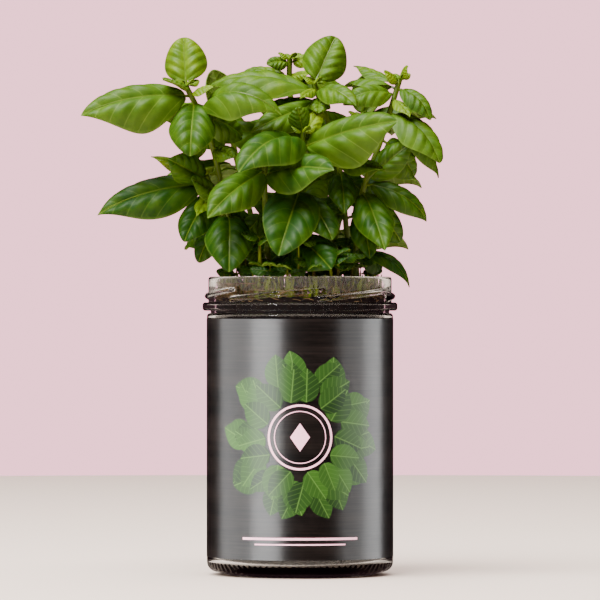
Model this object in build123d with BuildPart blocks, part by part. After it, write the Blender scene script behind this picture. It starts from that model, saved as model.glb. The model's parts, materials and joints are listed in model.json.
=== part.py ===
from build123d import *
from collections import namedtuple
from math import atan2, cos, degrees, pi, radians, sin, tan
import os

# Jar planter with basil: a straight-sided glass jar with a lug neck and a wrapped label, filled with a
# coir plug that nine rooted stems of basil grow out of. The plug lifts out of the straight bore.
# Millimetres, +Z up, -Y to the front, origin at the middle of the ring that the jar stands on.

# Glass jar
JAR_DIAMETER = 80.0
JAR_HEIGHT = 128.0
WALL = 3.2
FLOOR = 4.5
FLOOR_FILLET = 4.0
HEEL_RADIUS = 4.0
HEEL_WIDTH = 9.5
HEEL_RISE = 2.4
STANDING_RING_WIDTH = 5.0
PUSH_UP = 2.0
KNURL_COUNT = 76
KNURL_DEPTH = 0.5
KNURL_LENGTH = 6.0
KNURL_PAST_RING = 2.0

# Neck of the jar: bead, lug thread and lip
NECK_HEIGHT = 11.0
NECK_SET_IN = 0.6
LIP_RADIUS = 1.1
BEAD_HEIGHT = 3.6
BEAD_PROUD = 1.9
BEAD_FILLET = 1.2
GROOVE_HEIGHT = 1.0
GROOVE_DEPTH = 1.6
SHOULDER_FILLET = 1.4
LUG_COUNT = 6
LUG_SPAN = 66.0
LUG_RISE = 4.2
LUG_PROUD = 1.6
LUG_HEIGHT = 2.2
LUG_ROOT = 0.6
LUG_BEARING = -140.0
LUG_ABOVE_BEAD = 1.4

# The most of a wall or step that a fillet takes up
FILLET_SHARE = 0.9

# Wrapped label
LABEL_THICKNESS = 0.1
LABEL_GLUE = 0.05
LABEL_ABOVE_STAND = 8.0
LABEL_BELOW_SHOULDER = 2.4
LABEL_SEAM = 4.0

# Coir plug and the fibres on it
PLUG_CLEARANCE = 0.3
PLUG_BELOW_RIM = 11.0
FIBRE_DEPTH = 3.5
FIBRE_TUFT_HEIGHT = 3.0
FIBRE_TUFT_WIDTH = 4.5

# Stems and roots
STEM_DIAMETER = 2.4
STEM_CLEARANCE = 0.15
STEM_COLLAR_BELOW_RIM = 1.0
STEM_TIP = 1.5
BEND_SHARE = 0.45
RIM_MARGIN = 13.0
INNER_RING = 12.0
ROOT_LENGTH = 60.0
ROOT_TIP_DIAMETER = 0.8
ROOT_SIDES = 8
ROOTLET_COUNT = 3
ROOTLET_LENGTH = 14.0
ROOTLET_DIAMETER = 1.0
ROOTLET_TIP_DIAMETER = 0.4
ROOTLET_LEAN = 28.0
ROOTLET_DEPTH = 10.0
ROOTLET_STEP = 12.0

# Seedlings: short thin stems between the tall ones, each with a pair of small leaves
SEEDLING_DIAMETER = 1.6
SEED_LEAF_SPREAD = 5.5
SEED_LEAF_RISE = 1.5
SEED_LEAF_WIDTH = 4.5
SEED_LEAF_ARCH = 0.6
SEED_LEAF_DROOP = 0.4

# Leaves: a stalk, then an ovate blade that is thickest along its midrib
BLADE_THICKNESS = 0.7
TIP_WIDTH = 1.2
TIP_THICKNESS = 0.5
STALK_LENGTH = 3.5
STALK_THICKNESS = 1.3
YOUNG_STALK_LENGTH = 1.5
YOUNG_STALK_THICKNESS = 0.8
LONGEST_STALK_SHARE = 0.16
YOUNG_WIDTH = 9.5
STALK_SEAT = 0.6
STALK_RUN = 0.7
STALK_FLATNESS = 0.8
LEAF_PAST_BEAD = 5.5

# The outline of a blade: share of its length from the stalk, and share of its half width there.
BLADE_OUTLINE = ((0.06, 0.4), (0.22, 0.86), (0.45, 1.0), (0.68, 0.88), (0.87, 0.54))

# Radii from the axis and heights above the stand that the pieces share
barrel_radius = JAR_DIAMETER / 2
bore_radius = barrel_radius - WALL
neck_radius = barrel_radius - NECK_SET_IN
bead_radius = barrel_radius + BEAD_PROUD
groove_radius = barrel_radius - GROOVE_DEPTH
ring_outer = barrel_radius - HEEL_WIDTH
ring_inner = ring_outer - STANDING_RING_WIDTH
lip_fillet = min(LIP_RADIUS, FILLET_SHARE * (neck_radius - bore_radius) / 2)
shoulder_fillet = min(SHOULDER_FILLET, FILLET_SHARE * GROOVE_DEPTH)
bead_fillet = min(BEAD_FILLET, FILLET_SHARE * BEAD_HEIGHT / 2)
bead_top = JAR_HEIGHT - NECK_HEIGHT
bead_foot = bead_top - BEAD_HEIGHT
shoulder = bead_foot - GROOVE_HEIGHT
label_height = shoulder - LABEL_BELOW_SHOULDER - LABEL_ABOVE_STAND
plug_radius = bore_radius - PLUG_CLEARANCE
plug_foot = FLOOR + PLUG_CLEARANCE
plug_top = JAR_HEIGHT - PLUG_BELOW_RIM
fibre_top = plug_top + FIBRE_DEPTH
stem_radius = STEM_DIAMETER / 2
seedling_radius = SEEDLING_DIAMETER / 2
outer_ring = plug_radius - RIM_MARGIN

# A stem stands on a planting ring at a bearing in degrees, and passes nodes that its leaves grow from.
# A node and a leaf's tip are given as (right, back, above the rim).
Stem = namedtuple("Stem", "ring bearing nodes")
STEMS = {
    "left": Stem(
        outer_ring,
        192,
        [(-30.5, -8.5, 26), (-33.5, -10, 38), (-37, -14, 55), (-43, -16.5, 70.5), (-48, -18.5, 80)],
    ),
    "left_low": Stem(outer_ring, 160, [(-28, 4, 16), (-33.5, 1, 27), (-40, -4, 42.5)]),
    "centre_left": Stem(INNER_RING, 200, [(-14, -8, 10), (-15, -13, 29), (-15, -20, 45.5)]),
    "centre": Stem(INNER_RING, 275, [(-1, -14, 16), (0, -16, 37), (1.3, -20, 60)]),
    "top_right": Stem(
        outer_ring, 30, [(20.5, 8, 12), (19.5, 4, 27), (17, 0, 47), (14, -3, 61), (6.5, -4, 81.5)]
    ),
    "right": Stem(
        outer_ring,
        -4,
        [(24, -4, 13), (25, -6, 29), (28, -8, 41), (35, -5, 59), (38.5, -2, 70.5), (42.5, 0, 83.5)],
    ),
    "top_back": Stem(INNER_RING, 88, [(-1, 15, 30), (-3, 17, 62), (-4.7, 17, 86.5), (-4.5, 16.5, 93)]),
    "back_left": Stem(outer_ring, 125, [(-20, 22, 22), (-27, 24, 48), (-31, 24, 68)]),
    "back_right": Stem(outer_ring, 62, [(16, 24, 20), (22, 27, 46), (26, 27, 68)]),
}

# A leaf grows from a node of its stem to its tip. Its upper side looks along facing, its midrib bows up by
# arch and its edges hang down by droop, or turn up where droop is negative. Down is how far below the node
# it is seated, along the stem.
Leaf = namedtuple("Leaf", "node down tip width facing arch droop")
LEAVES = {
    "left_crown": (
        "left",
        [
            Leaf(4, -1.0, (-50, -10, 103), 21, (-0.1, -0.95, 0.25), 4, 3),
            Leaf(4, 1.6, (-58, -30, 84), 10, (-0.4, -0.6, 0.7), 1, -1),
            Leaf(4, 2.8, (-37, -24, 80.5), 8, (0.2, -0.5, 0.85), 1.5, 1),
            Leaf(4, 3.4, (-93.5, -30, 69), 25, (0, -0.75, 0.65), 6, 7),
            Leaf(4, 6.4, (-46.5, -38, 51), 20, (0, -0.9, 0.45), 5, 3),
        ],
    ),
    "left_side": (
        "left",
        [
            Leaf(3, 0, (-7, -36, 69), 22, (0, -0.65, 0.75), 13, 5),
            Leaf(3, 2.0, (-24, -6, 60), 16, (0, -0.8, 0.6), 3, 2),
            Leaf(3, 4.0, (-47, -4, 50), 11, (-0.5, -0.85, 0), 1, 1),
            Leaf(2, 0, (-28, -25, 51), 10, (0, -0.8, 0.5), 1, 1),
            Leaf(1, 0, (-21, -18, 44), 10, (0.3, -0.8, 0.5), 1, 1),
            Leaf(1, 1.6, (-28, -27, 31), 11, (0.2, -0.7, 0.7), 1, 1),
            Leaf(1, 5.6, (-46, -22, 42), 12, (-0.2, -0.8, 0.6), 1, 1),
            Leaf(0, 0, (-30, -36, 2), 21, (0.05, -0.97, 0.2), 8, 3),
        ],
    ),
    "left_low": (
        "left_low",
        [
            Leaf(2, -0.8, (-64, -4, 52), 8, (0, -0.7, 0.7), 1, 1),
            Leaf(2, 1.0, (-56, -22, 50), 14, (-0.2, -0.95, 0.1), 2, 1),
            Leaf(2, 3.0, (-87.3, -16, 27.3), 22, (-0.1, -0.8, 0.6), 6, 4),
            Leaf(2, 6.6, (-44, -27, 26), 8, (0, -0.7, 0.7), 1, 1),
            Leaf(2, 7.6, (-49.5, -20, 15), 16, (-0.25, -0.95, 0.1), 4, 2),
            Leaf(1, 0, (-44, -2, 6), 12, (-0.3, -0.9, 0.2), 2, 1),
            Leaf(0, 0, (-50, 14, 12), 16, (-0.5, 0.1, 0.85), 5, 3),
        ],
    ),
    "centre_left": (
        "centre_left",
        [
            Leaf(2, -0.8, (-24, 4, 53), 12, (-0.1, -0.9, 0.4), 2, 1),
            Leaf(2, 0.6, (-39, -47, 25.5), 19, (0.1, -0.75, 0.65), 4, 2),
            Leaf(2, 2.4, (14.2, -48, 45), 23, (0, -0.8, 0.6), 4, 3),
            Leaf(1, 0, (-13, -26, 13), 10, (-0.1, -0.95, 0.2), 2, 1),
            Leaf(0, -0.4, (-26, -11.5, 10), 11, (0, -0.7, 0.7), 1, 1),
            Leaf(1, 1.8, (-25, -12, 15), 12, (-0.3, -0.9, 0.25), 2, 1),
            Leaf(0, 3.6, (-17.5, -28, 2), 10, (0, -0.9, 0.4), 2, 1),
        ],
    ),
    "centre_crown": (
        "centre",
        [
            Leaf(2, -1.0, (-1, -26, 72), 15, (0, -0.9, 0.4), 2, 2),
            Leaf(2, 0.2, (9, -12, 72), 8, (0, -0.8, 0.6), 1, 1),
            Leaf(2, 3.4, (-26, -52, 44), 25, (-0.1, -0.6, 0.8), 10, 5),
            Leaf(2, 5.2, (41, -40, 66), 25, (0.05, -0.85, 0.5), 4, 7),
        ],
    ),
    "centre_low": (
        "centre",
        [
            Leaf(1, 0, (-9, -48, 9), 24, (0.05, -0.95, 0.3), 6, -2),
            Leaf(1, 1.8, (14, -36, 16), 17, (0.35, -0.9, 0.2), 4, 2),
            Leaf(1, 3.6, (10, 4, 42), 15, (0, -0.7, 0.7), 4, 2),
            Leaf(1, 6.0, (-13, -2, 20), 14, (-0.2, -0.9, 0.35), 3, 2),
            Leaf(0, 0, (13, -40, 3.5), 20, (0.05, -0.95, 0.25), 4, 2),
            Leaf(0, 1.8, (-6, 6, 16), 13, (0, -0.3, 0.95), 3, 2),
            Leaf(0, 6.0, (-5, -25, 3), 9, (0, -0.9, 0.4), 1, 1),
        ],
    ),
    "top_right_crown": (
        "top_right",
        [
            Leaf(4, -1.0, (15.5, 4, 104), 23, (0.05, -0.97, 0.2), 4, 3),
            Leaf(4, 1.0, (0, -20, 76), 6, (0, -0.7, 0.7), 1, 1),
            Leaf(4, 2.0, (24, -22, 73), 14, (0, -0.6, 0.8), 5, 2),
            Leaf(4, 3.6, (-41.7, 3, 82), 22, (0, -0.35, 0.93), 8, 4),
            Leaf(4, 5.4, (8, -17, 70), 10, (0, -0.95, 0.2), 2, 1),
            Leaf(4, 7.0, (-21, -21, 62), 15, (0.1, -0.8, 0.6), 2, 2),
            Leaf(4, 9.5, (-17, -2, 71), 17, (0, -0.7, 0.7), 3, 3),
        ],
    ),
    "top_right_low": (
        "top_right",
        [
            Leaf(3, 0, (34, 1, 64), 16, (0.1, -0.7, 0.7), 4, 2),
            Leaf(3, 1.8, (-12, 3, 55), 16, (0, -0.7, 0.7), 4, 2),
            Leaf(2, 0, (36, -27, 46), 11, (0, -0.75, 0.65), 2, 1),
            Leaf(2, 1.8, (19, -24, 27), 13, (0.1, -0.95, 0.2), 3, 1),
            Leaf(1, 0, (6, -4, 24), 10, (0, -0.9, 0.3), 2, 1),
            Leaf(1, 1.6, (40, 12, 22), 14, (0.3, -0.5, 0.8), 4, 2),
            Leaf(0, 0, (13, -8, 2.5), 9, (0, -0.9, 0.3), 1, 1),
            Leaf(2, 3.6, (31, 8, 31), 16, (0.3, -0.8, 0.5), 3, 2),
        ],
    ),
    "right_crown": (
        "right",
        [
            Leaf(5, -1.0, (46, -6, 90.5), 6, (0, -0.7, 0.7), 1, 1),
            Leaf(5, 0.2, (36, -6, 88), 7, (0, -0.7, 0.7), 1, 1),
            Leaf(5, 1.2, (23.2, 16, 92), 10, (0.2, -0.3, 0.93), 1, 1),
            Leaf(5, 2.8, (18.5, 11, 82.5), 13, (0, 0.25, 0.97), 3, 2),
            Leaf(5, 2.8, (56, -9, 67), 12, (0.5, -0.65, 0.55), 5, 2),
            Leaf(5, 5.6, (18, -10, 74), 15, (0, -0.6, 0.8), 5, 2),
            Leaf(5, 7.4, (47, -15, 68.5), 7, (0.4, -0.8, 0.3), 1, 1),
        ],
    ),
    "right_side": (
        "right",
        [
            Leaf(4, 0, (60, -14, 48.5), 21, (0.5, -0.5, 0.7), 6, 3),
            Leaf(4, 1.8, (61, 14, 43), 16, (0.2, -0.5, 0.85), 4, 2),
            Leaf(4, 3.6, (40, 28, 62), 17, (0, 0.3, 0.95), 5, 3),
            Leaf(3, 0, (50, 4, 43), 17, (0.3, -0.85, 0.4), 3, 2),
            Leaf(2, 0, (47, -11, 57), 13, (0.2, -0.9, 0.4), 2, 2),
        ],
    ),
    "right_low": (
        "right",
        [
            Leaf(2, 1.2, (55.5, -8, 24), 15, (0.5, -0.65, 0.55), 6, 2),
            Leaf(2, 4.8, (36, -36, 11), 17, (0.1, -0.97, 0.2), 5, 2),
            Leaf(2, 5.6, (44, 0, 15), 16, (0.3, -0.9, 0.3), 2, 2),
            Leaf(1, 0, (30, -21, 8), 12, (0.3, -0.95, 0), 2, 1),
            Leaf(0, -0.6, (36, 10, 3), 14, (0.2, -0.8, 0.55), 2, 1),
            Leaf(0, 3.4, (bead_radius + LEAF_PAST_BEAD, -8, -4.5), 10, (0.7, -0.55, 0.45), 8, 1),
        ],
    ),
    "top_back": (
        "top_back",
        [
            Leaf(3, 0.3, (-14.5, 12, 92), 10, (0, -0.8, 0.6), 2, 1),
            Leaf(3, 0.3, (5, 14, 95), 9, (0, -0.8, 0.6), 1, 1),
            Leaf(2, 0, (4, 11, 88), 6, (0, -0.8, 0.6), 1, 1),
            Leaf(2, 0, (-24.5, 21, 90), 12, (0, -0.3, 0.95), 2, 1),
            Leaf(2, 1.8, (-8, 40, 84), 17, (0, 0.3, 0.95), 4, 2),
            Leaf(2, 3.6, (20, 24, 82), 16, (0.1, -0.2, 0.97), 4, 2),
        ],
    ),
    "top_back_low": (
        "top_back",
        [
            Leaf(1, 0, (-26, 40, 62), 19, (-0.1, 0.5, 0.85), 6, 3),
            Leaf(1, 1.8, (20, 42, 58), 19, (0.1, 0.5, 0.85), 6, 3),
            Leaf(0, 0, (-22, 38, 31), 16, (0, 0.7, 0.7), 5, 3),
            Leaf(0, 1.8, (19, 42, 26), 16, (0, 0.7, 0.7), 5, 3),
            Leaf(1, 3.6, (-36, 8, 63), 19, (0, -0.75, 0.65), 4, 3),
            Leaf(1, 5.4, (16, 9, 56), 17, (0, -0.75, 0.65), 3, 2),
            Leaf(0, 3.6, (-22, 2, 34), 17, (0, -0.8, 0.6), 3, 2),
            Leaf(0, 5.4, (17, 12, 33), 17, (0, -0.8, 0.6), 3, 2),
            Leaf(0, 16, (-13, 3, 7), 13, (0, -0.8, 0.6), 2, 1),
            Leaf(0, 18, (10, 4, 5), 13, (0, -0.8, 0.6), 2, 1),
        ],
    ),
    "back_left": (
        "back_left",
        [
            Leaf(2, -0.8, (-38, 20, 90), 14, (-0.3, 0.9, 0.3), 2, 2),
            Leaf(2, 0.8, (-64, 22, 70), 21, (-0.2, 0.3, 0.93), 6, 3),
            Leaf(2, 2.6, (-33, 55, 64), 20, (0, 0.4, 0.9), 6, 3),
            Leaf(1, 0, (-62, 24, 40), 20, (-0.4, 0.3, 0.85), 5, 3),
            Leaf(1, 1.8, (-32, 54, 38), 20, (0, 0.6, 0.8), 5, 3),
            Leaf(0, 0, (-50, 36, 14), 19, (-0.4, 0.5, 0.75), 5, 3),
            Leaf(0, 1.8, (-15, 50, 9), 18, (0, 0.7, 0.7), 5, 3),
            Leaf(1, 3.6, (-8, 9, 46), 19, (0.1, -0.85, 0.5), 3, 2),
            Leaf(2, 4.4, (-52, 8, 58), 18, (-0.2, -0.8, 0.6), 4, 2),
            Leaf(0, 3.6, (-36, 8, 30), 17, (-0.2, -0.85, 0.5), 3, 2),
        ],
    ),
    "back_right": (
        "back_right",
        [
            Leaf(2, -0.8, (33, 24, 90), 14, (0.3, 0.9, 0.3), 2, 2),
            Leaf(2, 0.8, (60, 32, 70), 18, (0.2, 0.3, 0.93), 6, 3),
            Leaf(2, 3.2, (27, 56, 63), 18, (0, 0.4, 0.9), 6, 3),
            Leaf(1, 0, (54, 35, 40), 18, (0.4, 0.3, 0.85), 5, 3),
            Leaf(1, 1.8, (20, 56, 36), 17, (0, 0.6, 0.8), 5, 3),
            Leaf(0, 0, (48, 35, 13), 18, (0.4, 0.5, 0.75), 5, 3),
            Leaf(0, 1.8, (12, 52, 9), 18, (0, 0.7, 0.7), 5, 3),
            Leaf(2, 4.4, (7, 12, 68), 18, (0, -0.75, 0.65), 3, 2),
            Leaf(1, 4.6, (42, 13, 32), 17, (0.2, -0.8, 0.6), 3, 2),
            Leaf(1, 6.2, (5, 17, 50), 16, (0, -0.8, 0.6), 3, 2),
            Leaf(0, 5.0, (33, 16, 10), 13, (0.2, -0.8, 0.6), 3, 2),
            Leaf(0, 6.4, (2, 16, 11), 15, (0, -0.8, 0.6), 3, 2),
        ],
    ),
}

# A seedling stands on a ring at a bearing, up to a height above the rim, or below it where that is negative.
# Its two leaves point along turn and the other way.
Seedling = namedtuple("Seedling", "ring bearing height turn")
SEEDLINGS = [
    Seedling(27.5, 212, -3, 212),
    Seedling(26, 228, -4, 228),
    Seedling(26, 314, -3, 314),
    Seedling(27, 336, -4, 66),
    Seedling(12.4, 238, -5, 200),
    Seedling(14, 325, -5, 10),
    Seedling(15, 150, -4, 60),
    Seedling(11, 40, -5, 130),
]


def above_rim(point):
    """A point of the plant, given from the middle of the rim, in the jar's own frame."""
    right, back, height = point
    return Vector(right, back, JAR_HEIGHT + height)


def stem_foot(stem):
    """Where a stem stands on the top of the plug."""
    return Vector(stem.ring, 0, plug_top).rotate(Axis.Z, stem.bearing)


def stem_route(stem):
    """The stem's points: straight up through the fibres, past its nodes and a little beyond the last."""
    foot = stem_foot(stem)
    collar = Vector(foot.X, foot.Y, JAR_HEIGHT - STEM_COLLAR_BELOW_RIM)
    nodes = [above_rim(node) for node in stem.nodes]
    tip = nodes[-1] + (nodes[-1] - nodes[-2]).normalized() * STEM_TIP
    return [foot, collar, *nodes[:-1], tip]


def seedling_leaves(seedling):
    """A seedling as a stem of one node, with the two leaves that it carries."""
    bearing = radians(seedling.bearing)
    right, back = seedling.ring * cos(bearing), seedling.ring * sin(bearing)
    stem = Stem(seedling.ring, seedling.bearing, [(right, back, seedling.height)])
    pair = []
    for turn in (radians(seedling.turn), radians(seedling.turn) + pi):
        tip = (
            right + SEED_LEAF_SPREAD * cos(turn),
            back + SEED_LEAF_SPREAD * sin(turn),
            seedling.height + SEED_LEAF_RISE,
        )
        pair.append(Leaf(0, 0, tip, SEED_LEAF_WIDTH, (0, 0, 1), SEED_LEAF_ARCH, SEED_LEAF_DROOP))
    return stem, pair


def bend_radii(route):
    """The largest radius that the two runs at each corner of a route leave room for."""
    radii = []
    for before, corner, after in zip(route, route[1:], route[2:]):
        run_in = corner - before
        run_out = after - corner
        half_turn = radians(run_in.get_angle(run_out)) / 2
        radii.append(BEND_SHARE * min(run_in.length, run_out.length) / tan(half_turn))
    return radii


def root_system(stem, room):
    """A faceted taproot under the stem's foot with rootlets leaning out of it, all wider by room."""
    foot = stem_foot(stem)
    down = Vector(0, 0, -1)
    runs = [(Plane(foot, z_dir=down), ROOT_LENGTH, stem_radius, ROOT_TIP_DIAMETER / 2)]
    for count in range(ROOTLET_COUNT):
        turn = count * 360 / ROOTLET_COUNT + stem.bearing
        lean = down.rotate(Axis.X, ROOTLET_LEAN).rotate(Axis.Z, turn)
        fork = foot + down * (ROOTLET_DEPTH + count * ROOTLET_STEP)
        runs.append((Plane(fork, z_dir=lean), ROOTLET_LENGTH, ROOTLET_DIAMETER / 2, ROOTLET_TIP_DIAMETER / 2))
    with BuildPart() as roots:
        for plane, length, wide, narrow in runs:
            with BuildSketch(plane):
                RegularPolygon(wide + room, ROOT_SIDES)
            with BuildSketch(plane.offset(length + room)):
                RegularPolygon(narrow + room, ROOT_SIDES)
            loft(ruled=True)
    return roots.part


def leaf_seat(stem, leaf):
    """The point on a stem's middle line that a leaf's stalk comes from."""
    node = above_rim(stem.nodes[leaf.node])
    below = above_rim(stem.nodes[leaf.node - 1]) if leaf.node else stem_foot(stem)
    return node + (below - node).normalized() * leaf.down


def leaf_blade(stem, leaf, seat_radius):
    """One leaf on a stem of a given radius, lofted through lens-shaped sections along its bowed midrib."""
    node = leaf_seat(stem, leaf)
    tip = above_rim(leaf.tip)
    facing = Vector(*leaf.facing)
    young = leaf.width < YOUNG_WIDTH
    stalk_length = YOUNG_STALK_LENGTH if young else STALK_LENGTH
    stalk = YOUNG_STALK_THICKNESS if young else STALK_THICKNESS
    start = node + (tip - node).normalized() * (STALK_SEAT * seat_radius)
    chord = tip - start
    along = chord.normalized()
    normal = (facing - along * facing.dot(along)).normalized()
    across = normal.cross(along)
    bare = min(stalk_length / chord.length, LONGEST_STALK_SHARE)
    sections = [(0, stalk / 2, stalk * STALK_FLATNESS), (bare * STALK_RUN, stalk / 2, stalk * STALK_FLATNESS)]
    for share, breadth in BLADE_OUTLINE:
        sections.append((bare + (1 - bare) * share, breadth * leaf.width / 2, BLADE_THICKNESS))
    sections.append((1, TIP_WIDTH / 2, TIP_THICKNESS))
    with BuildPart() as blade:
        for share, half_width, thickness in sections:
            middle = start + chord * share + normal * (leaf.arch * 4 * share * (1 - share))
            heading = chord + normal * (leaf.arch * 4 * (1 - 2 * share))
            edge = -leaf.droop * (2 * half_width / leaf.width) ** 2
            with BuildSketch(Plane(middle, x_dir=across, z_dir=heading)):
                with BuildLine():
                    ThreePointArc((-half_width, edge), (0, -thickness / 2), (half_width, edge))
                    ThreePointArc((half_width, edge), (0, thickness / 2), (-half_width, edge))
                make_face()
        loft(ruled=True)
    return blade.part


os.makedirs("parts", exist_ok=True)


# Glass jar: one revolved wall, six lugs on its neck and a knurled heel
lug_pitch = LUG_RISE * 360 / LUG_SPAN
heel_slope = degrees(atan2(HEEL_RISE, HEEL_WIDTH))
with BuildPart() as lug:
    with BuildLine() as lug_path:
        Helix(lug_pitch, LUG_RISE, neck_radius, center=(0, 0, bead_top + LUG_ABOVE_BEAD))
    with BuildSketch(Plane(lug_path.line @ 0, x_dir=(1, 0, 0), z_dir=lug_path.line % 0)):
        with BuildLine():
            Polyline((0, -LUG_HEIGHT / 2), (-LUG_ROOT, -LUG_HEIGHT / 2), (-LUG_ROOT, LUG_HEIGHT / 2))
            Line((-LUG_ROOT, LUG_HEIGHT / 2), (0, LUG_HEIGHT / 2))
            ThreePointArc((0, LUG_HEIGHT / 2), (LUG_PROUD, 0), (0, -LUG_HEIGHT / 2))
        make_face()
    sweep(path=lug_path.line, is_frenet=True)

with BuildPart() as glass_jar:
    with BuildSketch(Plane.XZ) as wall_section:
        with BuildLine():
            TangentArc((0, PUSH_UP), (ring_inner, 0), tangent=(1, 0))
            Polyline(
                (ring_inner, 0),
                (ring_outer, 0),
                (barrel_radius, HEEL_RISE),
                (barrel_radius, shoulder),
                (groove_radius, shoulder),
                (groove_radius, bead_foot),
                (bead_radius, bead_foot),
                (bead_radius, bead_top),
                (neck_radius, bead_top),
                (neck_radius, JAR_HEIGHT),
                (bore_radius, JAR_HEIGHT),
                (bore_radius, FLOOR),
                (0, FLOOR),
                (0, PUSH_UP),
            )
        make_face()
        rounded = (
            ((barrel_radius, HEEL_RISE), HEEL_RADIUS),
            ((barrel_radius, shoulder), shoulder_fillet),
            ((bead_radius, bead_foot), bead_fillet),
            ((bead_radius, bead_top), bead_fillet),
            ((neck_radius, JAR_HEIGHT), lip_fillet),
            ((bore_radius, JAR_HEIGHT), lip_fillet),
            ((bore_radius, FLOOR), FLOOR_FILLET),
        )
        for corner, radius in rounded:
            fillet(wall_section.vertices().sort_by_distance(corner)[0], radius)
    revolve(axis=Axis.Z)
    with PolarLocations(0, LUG_COUNT, LUG_BEARING):
        add(lug.part)
    with PolarLocations(ring_outer + KNURL_PAST_RING, KNURL_COUNT):
        with Locations((0, 0, KNURL_PAST_RING * HEEL_RISE / HEEL_WIDTH)):
            Cylinder(KNURL_DEPTH, KNURL_LENGTH, rotation=(0, 90 - heel_slope, 0), mode=Mode.SUBTRACT)
glass_jar.part.label = "glass_jar"
export_step(glass_jar.part, "parts/glass_jar.step")


# Wrapped label, with its seam at the back
seam_angle = 360 * LABEL_SEAM / (2 * pi * barrel_radius)
with BuildPart() as wrap_label:
    with BuildSketch(Plane.XZ.rotated((0, 0, 90 + seam_angle / 2))):
        with Locations((barrel_radius + LABEL_GLUE, LABEL_ABOVE_STAND)):
            Rectangle(LABEL_THICKNESS, label_height, align=(Align.MIN, Align.MIN))
    revolve(axis=Axis.Z, revolution_arc=360 - seam_angle)
wrap_label.part.label = "wrap_label"
export_step(wrap_label.part, "parts/wrap_label.step")


# Coir plug, with a channel for every root
channels = [root_system(stem, STEM_CLEARANCE) for stem in STEMS.values()]
with BuildPart() as coir_plug:
    with BuildSketch(Plane.XY.offset(plug_foot)):
        Circle(plug_radius)
    extrude(amount=plug_top - plug_foot)
    fillet(coir_plug.edges().group_by(Axis.Z)[0], FLOOR_FILLET)
    add(channels, mode=Mode.SUBTRACT)
coir_plug.part.label = "coir_plug"
export_step(coir_plug.part, "parts/coir_plug.step")


# Fibre mulch: a loose mat with a tufted edge, and a hole for every stem
tuft_foot = plug_radius - FIBRE_TUFT_WIDTH
tuft_top = fibre_top + FIBRE_TUFT_HEIGHT
with BuildPart() as fibre_mulch:
    with BuildSketch(Plane.XZ):
        with BuildLine():
            TangentArc((tuft_foot, fibre_top), (plug_radius, tuft_top), tangent=(1, 0))
            Polyline(
                (plug_radius, tuft_top),
                (plug_radius, plug_top),
                (0, plug_top),
                (0, fibre_top),
                (tuft_foot, fibre_top),
            )
        make_face()
    revolve(axis=Axis.Z)
    with Locations(*[stem_foot(stem) for stem in STEMS.values()]):
        Hole(stem_radius + STEM_CLEARANCE, mode=Mode.SUBTRACT)
    with Locations(*[stem_foot(seedling) for seedling in SEEDLINGS]):
        Hole(seedling_radius + STEM_CLEARANCE, mode=Mode.SUBTRACT)
fibre_mulch.part.label = "fibre_mulch"
export_step(fibre_mulch.part, "parts/fibre_mulch.step")


# Roots and stems, one of each for every sprig
for name, stem in STEMS.items():
    with BuildPart() as roots:
        add(root_system(stem, 0))
    roots.part.label = f"{name}_roots"
    export_step(roots.part, f"parts/{name}_roots.step")

    route = stem_route(stem)
    with BuildPart() as stalk:
        with BuildLine() as stem_path:
            FilletPolyline(*route, radius=bend_radii(route))
        with BuildSketch(Plane(route[0])):
            Circle(stem_radius)
        sweep(path=stem_path.line)
    stalk.part.label = f"{name}_stem"
    export_step(stalk.part, f"parts/{name}_stem.step")


# Leaves, in groups by where they grow on their stem, each leaf a solid of its own
for name, (stem_name, rows) in LEAVES.items():
    blades = [leaf_blade(STEMS[stem_name], row, stem_radius).solid() for row in rows]
    leaves = Compound(blades, label=f"{name}_leaves")
    export_step(leaves, f"parts/{name}_leaves.step")


# Seedlings, their stems in one node and their leaves in another
stalks = []
blades = []
for seedling in SEEDLINGS:
    with BuildPart() as stalk:
        with BuildSketch(Plane(stem_foot(seedling))):
            Circle(seedling_radius)
        extrude(amount=JAR_HEIGHT + seedling.height - plug_top)
    stalks.append(stalk.part.solid())
    stem, pair = seedling_leaves(seedling)
    blades.extend(leaf_blade(stem, leaf, seedling_radius).solid() for leaf in pair)
export_step(Compound(stalks, label="seedling_stems"), "parts/seedling_stems.step")
export_step(Compound(blades, label="seedling_leaves"), "parts/seedling_leaves.step")
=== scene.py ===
import json
import math
from collections import namedtuple
from random import Random

import bmesh
import bpy
from bpy.props import FloatProperty, FloatVectorProperty, IntProperty, PointerProperty
from mathutils import Matrix, Vector, noise

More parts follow.
